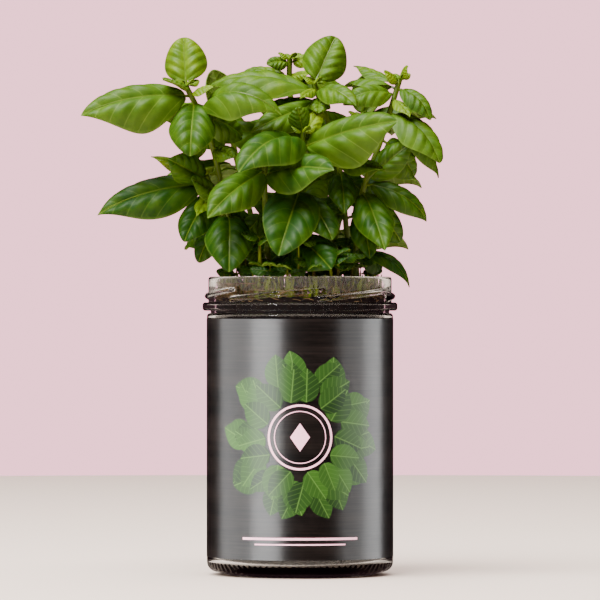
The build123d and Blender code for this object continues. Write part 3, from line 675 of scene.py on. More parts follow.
class BasilSettings(bpy.types.PropertyGroup):
    # Painted shade: low leaves are mixed towards this dark colour by their height, as well as at random.
    leaf_dark: colour("Dark leaf", "Upper side of an old leaf", "#1d4800")
    leaf_mid: colour("Leaf", "Upper side of a full leaf", "#4e7204")
    leaf_young: colour("Young leaf", "Upper side of a young leaf", "#88a406")
    vein: colour("Veins", "Midrib, side veins and margin", "#7f9d38")
    underside: colour("Underside", "Under side of a leaf", "#5f7c1a")
    stem: colour("Stem", "Skin of a stem and stalk", "#6a7c12")
    root: colour("Root", "Skin of a root", "#d9c9a4")
    straw: colour("Straw", "Old skin on the thin shoots", "#33260a")
    shoot_count: IntProperty(name="Shoots", description="Thin shoots in the neck", default=300)
    sprig_count: IntProperty(name="Sprigs", description="Small side shoots over the rim", default=36)
    thickness: measure("Leaf thickness", "Thickness of a blade", 0.4 * MM)


class StageSettings(bpy.types.PropertyGroup):
    floor: colour("Floor", "Colour of the floor", "#fae6d4")
    surround: colour("Surround", "Colour of the light all round", "#f9b2c4")
    fill: FloatProperty(name="Fill", description="Strength of the light all round", default=0.28)
    mirrored: FloatProperty(
        name="Mirrored", description="Strength of the surround in reflections", default=0.04,
    )
    backdrop: FloatProperty(
        name="Backdrop", description="Strength of the backdrop where it is seen", default=2.6,
    )
    camera_distance: measure("Camera distance", "From the camera to the jar's axis", 2.2)
    view_width: measure("View width", "Width seen at the jar's axis", 0.258)
    view_height: measure("View height", "Height that the camera looks at", 0.118)


def mottle(tree, place, size, detail, rough, span, first, second, most=1.0):
    """Soft patches of two colours, of a size in millimetres: the pattern itself and the mixed colour."""
    patches = add_node(tree, "ShaderNodeTexNoise", {
        "Vector": place, "Scale": 1 / (size * MM), "Detail": detail, "Roughness": rough,
    })
    spread = add_node(tree, "ShaderNodeMapRange", {
        "Value": patches.outputs["Fac"], "From Min": span[0], "From Max": span[1], "To Max": most,
    })
    mixed = add_node(tree, "ShaderNodeMix", {0: spread.outputs[0], 6: first, 7: second}, data_type="RGBA")
    return patches.outputs["Fac"], mixed.outputs[2]


def leaf_veins(tree, count, lean, bow):
    """Distances on a leaf's own map: from the midrib, with and without its sign, and from a side vein.

    Each half has count side veins, which lean towards the tip and bow to it near the margin.
    """
    place = add_node(tree, "ShaderNodeUVMap", {}, uv_map="UVMap")
    split = add_node(tree, "ShaderNodeSeparateXYZ", {"Vector": place.outputs["UV"]})
    centred = add_node(tree, "ShaderNodeMath", {0: split.outputs["Y"], 1: 0.5}, operation="SUBTRACT")
    away = add_node(tree, "ShaderNodeMath", {0: centred.outputs[0]}, operation="ABSOLUTE")
    slope = add_node(tree, "ShaderNodeMath", {0: away.outputs[0], 1: bow, 2: lean}, operation="MULTIPLY_ADD")
    back = add_node(tree, "ShaderNodeMath", {0: away.outputs[0], 1: slope.outputs[0]}, operation="MULTIPLY")
    along = add_node(tree, "ShaderNodeMath", {
        0: split.outputs["X"], 1: back.outputs[0],
    }, operation="SUBTRACT")
    ribs = add_node(tree, "ShaderNodeMath", {0: along.outputs[0], 1: 0.5 / count}, operation="PINGPONG")
    return centred.outputs[0], away.outputs[0], ribs.outputs[0]


# Flint glass, blown into a mould: clear, very smooth, with faint waves left by the mould
def glass_material(settings):
    made, tree, shader = new_material("flint_glass_moulded")
    place = add_node(tree, "ShaderNodeTexCoord", {})
    # The waves are about 14 mm long.
    waves = add_node(tree, "ShaderNodeTexNoise", {
        "Vector": place.outputs["Object"], "Scale": 1 / (14 * MM), "Detail": 1.0,
    })
    bump = add_node(tree, "ShaderNodeBump", {
        "Strength": 0.12, "Distance": 0.5 * MM, "Height": waves.outputs["Fac"],
    })
    feed(shader, {
        "Base Color": settings.tint, "Roughness": 0.02, "IOR": 1.5, "Transmission Weight": 1.0,
        "Normal": bump.outputs["Normal"],
    })
    return made


# Satin label paper printed with dark planks: fine level grain, broad tone changes, a soft sheen
def label_material(settings):
    made, tree, shader = new_material("label_paper_printed_wood")
    place = add_node(tree, "ShaderNodeUVMap", {}, uv_map="UVMap")
    # The map is in metres on the paper. Grain lines are 0.8 mm high and about 30 mm long.
    lines = add_node(tree, "ShaderNodeMapping", {
        "Vector": place.outputs["UV"], "Scale": (1 / (30 * MM), 1 / (0.8 * MM), 1),
    })
    grain = add_node(tree, "ShaderNodeTexNoise", {
        "Vector": lines.outputs["Vector"], "Scale": 1.0, "Detail": 5.0, "Roughness": 0.6,
    })
    # Broad tone changes are 9 mm high and about 80 mm long.
    broad = add_node(tree, "ShaderNodeMapping", {
        "Vector": place.outputs["UV"], "Scale": (1 / (80 * MM), 1 / (9 * MM), 1),
    })
    tone = add_node(tree, "ShaderNodeTexNoise", {
        "Vector": broad.outputs["Vector"], "Scale": 1.0, "Detail": 3.0,
    })
    both = add_node(tree, "ShaderNodeMath", {
        0: grain.outputs["Fac"], 1: tone.outputs["Fac"],
    }, operation="ADD")
    spread = add_node(tree, "ShaderNodeMapRange", {
        "Value": both.outputs[0], "From Min": 0.8, "From Max": 1.2,
    })
    ground = add_node(tree, "ShaderNodeMix", {
        0: spread.outputs[0], 6: settings.dark, 7: settings.light,
    }, data_type="RGBA")
    bump = add_node(tree, "ShaderNodeBump", {
        "Strength": 0.08, "Distance": 0.05 * MM, "Height": grain.outputs["Fac"],
    })
    feed(shader, {
        "Base Color": ground.outputs[2], "Roughness": 0.29, "Specular IOR Level": 0.42,
        "Normal": bump.outputs["Normal"], "Coat Weight": 0.25, "Coat Roughness": 0.27,
    })
    return made


# Printed leaf in satin ink: a dark and a light green half, a pale midrib and side veins
def printed_leaf_material(settings):
    made, tree, shader = new_material("satin_ink_leaf_green")
    tone = add_node(tree, "ShaderNodeAttribute", {}, attribute_name="leaf_tone")
    centred, away, ribs = leaf_veins(tree, 6, 0.55, 0.0)
    side = add_node(tree, "ShaderNodeMapRange", {
        "Value": ribs, "From Min": 0.004, "From Max": 0.02, "To Min": 0.28, "To Max": 0.0,
    })
    middle = add_node(tree, "ShaderNodeMapRange", {
        "Value": away, "From Min": 0.01, "From Max": 0.03, "To Min": 0.7, "To Max": 0.0,
    })
    vein = add_node(tree, "ShaderNodeMath", {0: side.outputs[0], 1: middle.outputs[0]}, operation="MAXIMUM")
    half = add_node(tree, "ShaderNodeMapRange", {
        "Value": centred, "From Min": -0.1, "From Max": 0.1, "To Min": 0.0, "To Max": 0.3,
    })
    shade = add_node(tree, "ShaderNodeMath", {0: half.outputs[0], 1: tone.outputs["Fac"]}, operation="ADD")
    green = add_node(tree, "ShaderNodeMix", {
        0: shade.outputs[0], 6: settings.leaf_dark, 7: settings.leaf_light,
    }, data_type="RGBA")
    veined = add_node(tree, "ShaderNodeMix", {
        0: vein.outputs[0], 6: green.outputs[2], 7: linear("#48692c"),
    }, data_type="RGBA")
    feed(shader, {"Base Color": veined.outputs[2], "Roughness": 0.34, "Specular IOR Level": 0.22})
    return made


# Satin ink in one colour, with the faint mottle of ink on paper
def ink_material(name, fresh, worn):
    made, tree, shader = new_material(name)
    place = add_node(tree, "ShaderNodeTexCoord", {})
    # Mottle of 0.7 mm
    _, ink = mottle(tree, place.outputs["Object"], 0.7, 2.0, 0.5, (0.4, 0.7), fresh, worn, most=0.4)
    feed(shader, {"Base Color": ink, "Roughness": 0.34, "Specular IOR Level": 0.3})
    return made


# Damp coir pith: dark crumbs of 1 to 3 mm with paler flecks and no gloss. Its colours are darker than damp
# coir alone, as painted shade, because the glass casts no shadow on it.
def coir_material(settings):
    made, tree, shader = new_material("coir_pith_damp")
    place = add_node(tree, "ShaderNodeTexCoord", {})
    crumbs, tone = mottle(
        tree, place.outputs["Object"], 2.2, 6.0, 0.7, (0.42, 0.72), settings.dark, settings.light,
    )
    bump = add_node(tree, "ShaderNodeBump", {"Strength": 0.9, "Distance": 1.2 * MM, "Height": crumbs})
    feed(shader, {
        "Base Color": tone, "Roughness": 0.88, "Specular IOR Level": 0.25, "Normal": bump.outputs["Normal"],
    })
    return made


# Coir fibre: dull straw-coloured hairs, darker where they are damp
def fibre_material(settings):
    made, tree, shader = new_material("coir_fibre_dry")
    place = add_node(tree, "ShaderNodeTexCoord", {})
    # Patches of 5 mm
    _, tone = mottle(
        tree, place.outputs["Object"], 5.0, 5.0, 0.65, (0.34, 0.66),
        settings.fibre_dark, settings.fibre_light,
    )
    feed(shader, {"Base Color": tone, "Roughness": 0.8, "Specular IOR Level": 0.3})
    return made


# Light that goes a little way into a leaf's blade
LEAF_GLOW = {
    "Subsurface Weight": 0.12, "Subsurface Radius": (0.5, 1.0, 0.15), "Subsurface Scale": 0.6 * MM,
}


# Basil leaf, upper side: waxy and half glossy, paler veins and margin, quilted between the veins
def leaf_material(settings):
    made, tree, shader = new_material("basil_leaf_waxy_upper")
    tone = add_node(tree, "ShaderNodeAttribute", {}, attribute_name="leaf_tone")
    margin = add_node(tree, "ShaderNodeAttribute", {}, attribute_name="leaf_margin")
    space = add_node(tree, "ShaderNodeTexCoord", {})
    # Tone patches of 7 mm
    patches = add_node(tree, "ShaderNodeTexNoise", {
        "Vector": space.outputs["Object"], "Scale": 1 / (7 * MM), "Detail": 3.0,
    })
    shade = add_node(tree, "ShaderNodeMapRange", {
        "Value": patches.outputs["Fac"], "From Min": 0.3, "From Max": 0.7, "To Min": -0.15, "To Max": 0.15,
    })
    # The leaf_tone attribute carries painted shade: low leaves have a lower tone and so a darker colour.
    mixed = add_node(tree, "ShaderNodeMath", {0: shade.outputs[0], 1: tone.outputs["Fac"]}, operation="ADD")
    full = add_node(tree, "ShaderNodeMapRange", {"Value": mixed.outputs[0], "From Max": 0.5})
    young = add_node(tree, "ShaderNodeMapRange", {"Value": mixed.outputs[0], "From Min": 0.5})
    dark_to_full = add_node(tree, "ShaderNodeMix", {
        0: full.outputs[0], 6: settings.leaf_dark, 7: settings.leaf_mid,
    }, data_type="RGBA")
    to_young = add_node(tree, "ShaderNodeMix", {
        0: young.outputs[0], 6: dark_to_full.outputs[2], 7: settings.leaf_young,
    }, data_type="RGBA")
    _, away, ribs = leaf_veins(tree, SIDE_VEINS, VEIN_LEAN, VEIN_BOW)
    # The veins show more on the pale young and high leaves than on the dark low ones, whose darkness is
    # partly painted shade.
    shown = add_node(tree, "ShaderNodeMapRange", {
        "Value": tone.outputs["Fac"], "From Min": 0.0, "From Max": 0.5, "To Min": 0.15, "To Max": 0.42,
    })
    side = add_node(tree, "ShaderNodeMapRange", {
        "Value": ribs, "From Min": 0.001, "From Max": 0.009, "To Min": shown.outputs[0], "To Max": 0.0,
    })
    middle = add_node(tree, "ShaderNodeMapRange", {
        "Value": away, "From Min": 0.006, "From Max": 0.024, "To Min": 0.45, "To Max": 0.0,
    })
    edge = add_node(tree, "ShaderNodeMapRange", {
        "Value": margin.outputs["Fac"], "From Min": 0.94, "From Max": 1.0, "To Min": 0.0, "To Max": 0.3,
    })
    lines = add_node(tree, "ShaderNodeMath", {0: side.outputs[0], 1: middle.outputs[0]}, operation="MAXIMUM")
    pale = add_node(tree, "ShaderNodeMath", {0: lines.outputs[0], 1: edge.outputs[0]}, operation="MAXIMUM")
    veined = add_node(tree, "ShaderNodeMix", {
        0: pale.outputs[0], 6: to_young.outputs[2], 7: settings.vein,
    }, data_type="RGBA")
    # Fine cells of 0.5 mm
    cells = add_node(tree, "ShaderNodeTexNoise", {
        "Vector": space.outputs["Object"], "Scale": 1 / (0.5 * MM), "Detail": 2.0,
    })
    # The blade swells between the side veins.
    swell = add_node(tree, "ShaderNodeMapRange", {
        "Value": ribs, "From Max": 0.5 / SIDE_VEINS,
    }, interpolation_type="SMOOTHSTEP")
    relief = add_node(tree, "ShaderNodeMath", {
        0: cells.outputs["Fac"], 1: 0.25, 2: swell.outputs[0],
    }, operation="MULTIPLY_ADD")
    bump = add_node(tree, "ShaderNodeBump", {
        "Strength": 0.33, "Distance": 0.8 * MM, "Height": relief.outputs[0],
    })
    feed(shader, {
        "Base Color": veined.outputs[2], "Roughness": 0.5, "Specular IOR Level": 0.27,
        "Normal": bump.outputs["Normal"], **LEAF_GLOW,
    })
    return made


# Basil leaf, under side: paler and dull, with the veins standing out
def leaf_under_material(settings):
    made, tree, shader = new_material("basil_leaf_matt_under")
    _, _, ribs = leaf_veins(tree, SIDE_VEINS, VEIN_LEAN, VEIN_BOW)
    side = add_node(tree, "ShaderNodeMapRange", {
        "Value": ribs, "From Min": 0.002, "From Max": 0.02, "To Min": 0.7, "To Max": 0.0,
    })
    veined = add_node(tree, "ShaderNodeMix", {
        0: side.outputs[0], 6: settings.underside, 7: settings.vein,
    }, data_type="RGBA")
    bump = add_node(tree, "ShaderNodeBump", {
        "Strength": 0.3, "Distance": 0.3 * MM, "Height": side.outputs[0],
    })
    feed(shader, {
        "Base Color": veined.outputs[2], "Roughness": 0.55, "Normal": bump.outputs["Normal"], **LEAF_GLOW,
    })
    return made


# Basil stem: smooth green skin with fine streaks along it and a soft shine
def stem_material(settings):
    made, tree, shader = new_material("basil_stem_skin")
    place = add_node(tree, "ShaderNodeTexCoord", {})
    # Streaks 0.5 mm across and 8 mm long
    along = add_node(tree, "ShaderNodeMapping", {
        "Vector": place.outputs["Object"], "Scale": (1 / (0.5 * MM), 1 / (0.5 * MM), 1 / (8 * MM)),
    })
    streaks = add_node(tree, "ShaderNodeTexNoise", {
        "Vector": along.outputs["Vector"], "Scale": 1.0, "Detail": 3.0,
    })
    skin = add_node(tree, "ShaderNodeMix", {
        0: streaks.outputs["Fac"], 6: settings.leaf_mid, 7: settings.stem,
    }, data_type="RGBA")
    feed(shader, {
        "Base Color": skin.outputs[2], "Roughness": 0.4, "Subsurface Weight": 0.15,
        "Subsurface Radius": (0.6, 1.0, 0.2), "Subsurface Scale": 1.0 * MM,
    })
    return made


# Thin basil shoots: olive skin with patches of brown straw
def shoot_material(settings):
    made, tree, shader = new_material("basil_shoot_skin")
    place = add_node(tree, "ShaderNodeTexCoord", {})
    # Patches 2.5 mm across and 5 mm high
    along = add_node(tree, "ShaderNodeMapping", {"Vector": place.outputs["Object"], "Scale": (1, 1, 2.5 / 5)})
    _, skin = mottle(
        tree, along.outputs["Vector"], 2.5, 3.0, 0.5, (0.4, 0.62), settings.stem, settings.straw,
    )
    feed(shader, {"Base Color": skin, "Roughness": 0.5, "Specular IOR Level": 0.2})
    return made


# Basil root: pale, fibrous and dull, stained by the coir
def root_material(settings, coir):
    made, tree, shader = new_material("basil_root_fibrous")
    place = add_node(tree, "ShaderNodeTexCoord", {})
    # Stains of 3 mm
    _, skin = mottle(
        tree, place.outputs["Object"], 3.0, 4.0, 0.5, (0.45, 0.75), settings.root, coir.light, most=0.6,
    )
    feed(shader, {"Base Color": skin, "Roughness": 0.7})
    return made


class PLANTER_OT_glass_jar(bpy.types.Operator):
    """Spins the jar's wall, raises the lugs on its neck and notches its heel"""

    bl_idname = "planter.glass_jar"
    bl_label = "Glass jar"

    def execute(self, context):
        settings = context.scene.planter_jar
        corners = [
            (0, PUSH_UP, 0),
            (ring_inner, 0, 0),
            (ring_outer, 0, 0),
            (barrel_radius, HEEL_RISE, HEEL_ROUND),
            (barrel_radius, shoulder, SHOULDER_ROUND),
            (groove_radius, shoulder, 0),
            (groove_radius, bead_foot, 0),
            (bead_radius, bead_foot, BEAD_ROUND),
            (bead_radius, bead_top, BEAD_ROUND),
            (neck_radius, bead_top, 0),
            (neck_radius, rim, LIP_ROUND),
            (bore_radius, rim, LIP_ROUND),
            (bore_radius, jar_floor, FLOOR_ROUND),
            (0, jar_floor, 0),
        ]

        def run_at(middle):
            if middle.z > bead_top and middle.x > neck_radius - SLACK:
                return LUG_RUN
            if middle.z < HEEL_RISE and middle.x < barrel_radius - HEEL_ROUND:
                return RING_RUN
            return PLAIN_RUN

        bm = spun_section(corners, settings.knurl_count * STEPS_PER_KNURL, run_at)
        knurl_start = ring_outer - KNURL_INSIDE_RING
        knurl_end = knurl_start + KNURL_LENGTH
        for vert in bm.verts:
            radius = math.hypot(vert.co.x, vert.co.y) / MM
            height = vert.co.z / MM
            if radius < NEAR:
                continue
            bearing = math.degrees(math.atan2(vert.co.y, vert.co.x))
            grown = radius
            if height > bead_top + SLACK and radius > neck_radius - 3 * SLACK:
                grown = self.with_lugs(settings, radius, height, bearing)
            elif height < PUSH_UP and radius < ring_inner:
                vert.co.z = PUSH_UP * (1 - (radius / ring_inner) ** 2) * MM
            elif height < HEEL_RISE and knurl_start < radius < knurl_end:
                notch = math.cos(math.radians(bearing * settings.knurl_count))
                vert.co.z += settings.knurl_depth * max(0.0, notch)
            vert.co.x *= grown / radius
            vert.co.y *= grown / radius
        piece = new_piece("jar_glass", bm, "jar", "clear_glass", [glass_material(settings)], "glass_jar")
        piece.visible_shadow = False
        return {"FINISHED"}

    def with_lugs(self, settings, radius, height, bearing):
        """The neck's radius at a height and a bearing, grown where a slanting lug passes."""
        grown = radius
        for count in range(settings.lug_count):
            turn = (bearing - LUG_BEARING - count * 360 / settings.lug_count) % 360
            if turn > LUG_SPAN:
                continue
            middle = bead_top + LUG_ABOVE_BEAD + LUG_RISE * turn / LUG_SPAN
            rise = abs(height - middle) / (settings.lug_height / MM / 2)
            ends = min(1.0, turn / LUG_TAPER, (LUG_SPAN - turn) / LUG_TAPER)
            if rise < 1:
                swell = math.sqrt(1 - rise * rise) * math.sin(ends * math.pi / 2)
                grown = max(grown, radius + settings.lug_proud / MM * swell)
        return grown


class PLANTER_OT_label(bpy.types.Operator):
    """Wraps the printed label round the barrel"""

    bl_idname = "planter.label"
    bl_label = "Wrapped label"

    def execute(self, context):
        settings = context.scene.planter_label
        foot, top = LABEL_LOW.z / MM, LABEL_HIGH.z / MM
        half_length = math.pi * label_radius - LABEL_SEAM / 2
        bm = bmesh.new()
        bmesh.ops.create_grid(bm, x_segments=180, y_segments=12, size=1)
        uv = bm.loops.layers.uv.new("UVMap")
        for vert in bm.verts:
            vert.co = Vector((vert.co.x * half_length, foot + (vert.co.y + 1) / 2 * (top - foot), 0))
        for face in bm.faces:
            for loop in face.loops:
                loop[uv].uv = loop.vert.co.xy * MM
        for vert in bm.verts:
            vert.co = bend_round(vert.co, label_radius)
        bmesh.ops.solidify(bm, geom=bm.faces[:], thickness=LABEL_THICKNESS * MM)
        new_piece("label_sheet", bm, "jar", "label_paper", [label_material(settings)], "wrap_label")

        self.print_leaves(settings)
        self.print_lines(settings)
        return {"FINISHED"}

    def print_leaves(self, settings):
        """A wreath of printed leaves in three rings, each a sheet of ink on the paper."""
        chance = Random(11)
        middle = Vector((0, PRINT_MIDDLE))
        bm = bmesh.new()
        uv = bm.loops.layers.uv.new("UVMap")
        tone = bm.verts.layers.float.new("leaf_tone")
        lift = LEAF_INK_LIFT
        for count, reach, lean in ((19, 23.0, 22), (17, 19.0, -26), (14, 15.0, 20)):
            for number in range(count):
                turn = math.tau * (number + chance.uniform(-0.2, 0.2)) / count
                sway = chance.uniform(-PRINTED_LEAF_SWAY, PRINTED_LEAF_SWAY)
                grow = turn + math.radians(lean * (1 if number % 2 else -1) + sway)
                foot = middle + Vector((math.cos(turn), math.sin(turn))) * reach
                length = chance.uniform(*PRINTED_LEAF_LENGTHS)
                wide = length * chance.uniform(*PRINTED_LEAF_WIDTH_SHARES)
                shade = chance.uniform(*PRINTED_LEAF_TONES)
                lift += LEAF_INK_STEP
                made = bmesh.ops.create_grid(bm, x_segments=28, y_segments=18, size=1)["verts"]
                along = Vector((math.cos(grow), math.sin(grow)))
                beside = Vector((-along.y, along.x))
                flat = {}
                for vert in made:
                    share = (vert.co.x + 1) / 2
                    half = 0.0
                    if 0 < share < 1:
                        half = math.sin(math.pi * share ** 0.85) ** (0.5 + 0.3 * share)
                    flat[vert] = (share, 0.5 + 0.5 * vert.co.y * half)
                    spot = foot + along * (share * length) + beside * (vert.co.y * half * wide / 2)
                    vert[tone] = shade
                    vert.co = spot.to_3d()
                lay_map(faces_of(made), uv, flat)
                for vert in made:
                    vert.co = bend_round(vert.co, label_radius + lift)
                bmesh.ops.remove_doubles(bm, verts=made, dist=NEAR)
        new_piece("label_print_leaves", bm, "jar", "label_paper", [printed_leaf_material(settings)])

    def print_lines(self, settings):
        """A roundel with a small diamond in it, and two plain rules below."""
        bm = bmesh.new()
        for reach, wide in ((13.0, 0.9), (10.8, 0.35)):
            ring = bmesh.ops.create_circle(bm, cap_ends=False, radius=reach, segments=96)["verts"]
            grown = bmesh.ops.extrude_edge_only(bm, edges=edges_of(ring))["geom"]
            outer = only(grown, bmesh.types.BMVert)
            bmesh.ops.scale(bm, vec=((reach + wide) / reach,) * 2 + (1,), verts=outer)
            bmesh.ops.translate(bm, vec=(0, PRINT_MIDDLE, 0), verts=ring + outer)
        made = bmesh.ops.create_grid(bm, x_segments=6, y_segments=6, size=DIAMOND_SIDE / 2)["verts"]
        bmesh.ops.rotate(bm, cent=(0, 0, 0), matrix=Matrix.Rotation(math.pi / 4, 3, "Z"), verts=made)
        bmesh.ops.scale(bm, vec=(DIAMOND_NARROWING, 1.0, 1.0), verts=made)
        bmesh.ops.translate(bm, vec=(0, PRINT_MIDDLE, 0), verts=made)
        for height, reach, wide in ((17.0, 26.0, 0.5), (14.6, 20.0, 0.3)):
            made = bmesh.ops.create_grid(bm, x_segments=40, y_segments=1, size=1)["verts"]
            bmesh.ops.scale(bm, vec=(reach, wide, 1), verts=made)
            bmesh.ops.translate(bm, vec=(0, height, 0), verts=made)
        for vert in bm.verts:
            vert.co = bend_round(vert.co, label_radius + LINE_INK_LIFT)
        bmesh.ops.recalc_face_normals(bm, faces=bm.faces[:])
        for face in bm.faces:
            outward = face.calc_center_median().xy
            if face.normal.xy.dot(outward) < 0:
                face.normal_flip()
        pink = ink_material("satin_ink_pink", settings.pink, linear("#d995aa"))
        new_piece("label_print_lines", bm, "jar", "label_paper", [pink])


class PLANTER_OT_coir(bpy.types.Operator):
    """Spins the coir plug and crumbles its skin"""

    bl_idname = "planter.coir"
    bl_label = "Coir plug"

    def execute(self, context):
        settings = context.scene.planter_coir
        corners = [
            (0, plug_foot, 0),
            (plug_radius, plug_foot, FLOOR_ROUND),
            (plug_radius, plug_top, 0),
            (0, plug_top, 0),
        ]
        bm = spun_section(corners, 220, lambda middle: 1.6)
        for vert in bm.verts:
            radius = vert.co.xy.length / MM
            crumb = noise.fractal(vert.co / (CRUMB_SIZE * MM), 0.8, 2.0, 3)
            sunk = max(0.0, 0.5 + 0.6 * crumb)
            if radius > plug_radius - 2 * SLACK:
                vert.co.xy *= (radius - sunk) / radius
            elif vert.co.z / MM > plug_top - 2 * SLACK:
                vert.co.z -= sunk * MM
        new_piece("coir_body", bm, "plant_plug", "coir", [coir_material(settings)], "coir_plug")
        return {"FINISHED"}


class PLANTER_OT_fibre(bpy.types.Operator):
    """Makes the fibre mat on the plug and the loose fibres in it"""

    bl_idname = "planter.fibre"
    bl_label = "Fibre mulch"

    def execute(self, context):
        settings = context.scene.planter_coir
        mat_top = plug_top + MAT_DEPTH
        corners = [
            (0, plug_top, 0),
            (strand_limit, plug_top, 0),
            (strand_limit, mat_top + MAT_EDGE_RISE, 0),
            (plug_radius - TUFT_WIDTH, mat_top, 0),
            (0, mat_top, 0),
        ]
        bm = spun_section(corners, 160, lambda middle: 1.5)
        for vert in bm.verts:
            if vert.co.z / MM > plug_top + 1.0:
                clump = noise.fractal(vert.co / (MAT_CLUMP_SIZE * MM), 0.7, 2.0, 3)
                vert.co.z -= (0.7 + 1.1 * clump) * MM
        new_piece("fibre_mat", bm, "plant_plug", "coir_fibre", [coir_material(settings)], "fibre_mulch")
        self.strands(context, settings)
        return {"FINISHED"}

    def strands(self, context, settings):
        """Loose fibres that wander over the mat, and stand up in a tuft at the left front."""
        chance = Random(5)
        lines = tube_lines("fibre_strands", settings.strand_radius, 0)
        for number in range(settings.strand_count):
            in_tuft = number < settings.tuft_count
            if in_tuft:
                reach = chance.uniform(*TUFT_RINGS)
                bearing = math.radians(chance.uniform(*TUFT_BEARINGS))
            else:
                reach = strand_ring * math.sqrt(chance.uniform(0.0, 1.0))
                bearing = chance.uniform(0, math.tau)
            foot = plug_top + chance.uniform(*STRAND_FEET)
            spot = Vector((reach * math.cos(bearing), reach * math.sin(bearing), foot))
            heading = chance.uniform(0, math.tau)
            climb = chance.uniform(*(TUFT_CLIMBS if in_tuft else STRAND_CLIMBS))
            step = chance.uniform(*STRAND_STEPS)
            spline = lines.splines.new("POLY")
            spline.points.add(STRAND_POINTS - 1)
            for point in spline.points:
                point.co = (*(spot * MM), 1)
                ahead = spot + Vector((math.cos(heading), math.sin(heading), climb)) * step
                if ahead.xy.length > strand_limit:
                    ahead.xy *= strand_limit / ahead.xy.length
                    climb = abs(climb)
                ahead.z = min(max(ahead.z, strand_lowest), strand_highest)
                spot = ahead
                heading += chance.uniform(*STRAND_TURNS)
                climb += chance.uniform(*STRAND_CLIMB_CHANGES)
        mesh_piece(context, "fibre_strands", lines, "coir_fibre", fibre_material(settings))


class PLANTER_OT_roots(bpy.types.Operator):
    """Finishes the roots in the plug"""

    bl_idname = "planter.roots"
    bl_label = "Roots"

    def execute(self, context):
        material = root_material(context.scene.planter_basil, context.scene.planter_coir)
        for name in STEMS:
            finish_node(f"{name}_roots", material)
        return {"FINISHED"}


class PLANTER_OT_stems(bpy.types.Operator):
    """Finishes the stems"""

    bl_idname = "planter.stems"
    bl_label = "Stems"

    def execute(self, context):
        settings = context.scene.planter_basil
        material = stem_material(settings)
        for name in STEMS:
            finish_node(f"{name}_stem", material)
        finish_node("seedling_stems", material)
        self.shoots(context, settings)
        return {"FINISHED"}

    def shoots(self, context, settings):
        """Thin shoots that crowd the neck between the stems, clear of the gap at the front."""
        chance = Random(41)
        lines = tube_lines("neck_shoots", 1.0 * MM, 1)
        lines.use_fill_caps = True
        feet = []
        for number in range(settings.shoot_count):
            bearing = 360 * (number + chance.uniform(-0.5, 0.5)) / settings.shoot_count
            ring = chance.uniform(*(SHOOT_RINGS if number % 3 else INNER_SHOOT_RINGS))
            feet.append((clear_of_gap(ring, bearing), bearing, None))
        feet.extend((sprig.ring, sprig.bearing, sprig.height) for sprig in sprigs(settings.sprig_count))
        for ring, bearing, height in feet:
            spot = stem_foot(Stem(ring, bearing, []))
            wide = chance.uniform(*SHOOT_RADII)
            top = chance.uniform(*SHOOT_HEIGHTS)
            spline = lines.splines.new("POLY")
            spline.points.add(SHOOT_POINTS - 1)
            sideways = [chance.uniform(-SHOOT_LEAN, SHOOT_LEAN) for _ in range(2)]
            lean = Vector((*sideways, 0))
            if height is not None:
                top = rim + height - plug_top
                lean = Vector((0, 0, 0))
            for place, point in enumerate(spline.points):
                share = place / (SHOOT_POINTS - 1)
                at = spot + Vector((0, 0, top * share)) + lean * share * share
                if at.xy.length > shoot_limit:
                    at.xy *= shoot_limit / at.xy.length
                point.co = (*(at * MM), 1)
                point.radius = wide * (1 - 0.25 * share - 0.6 * share ** 6)
        mesh_piece(context, "neck_shoots", lines, "basil_stem", shoot_material(settings))


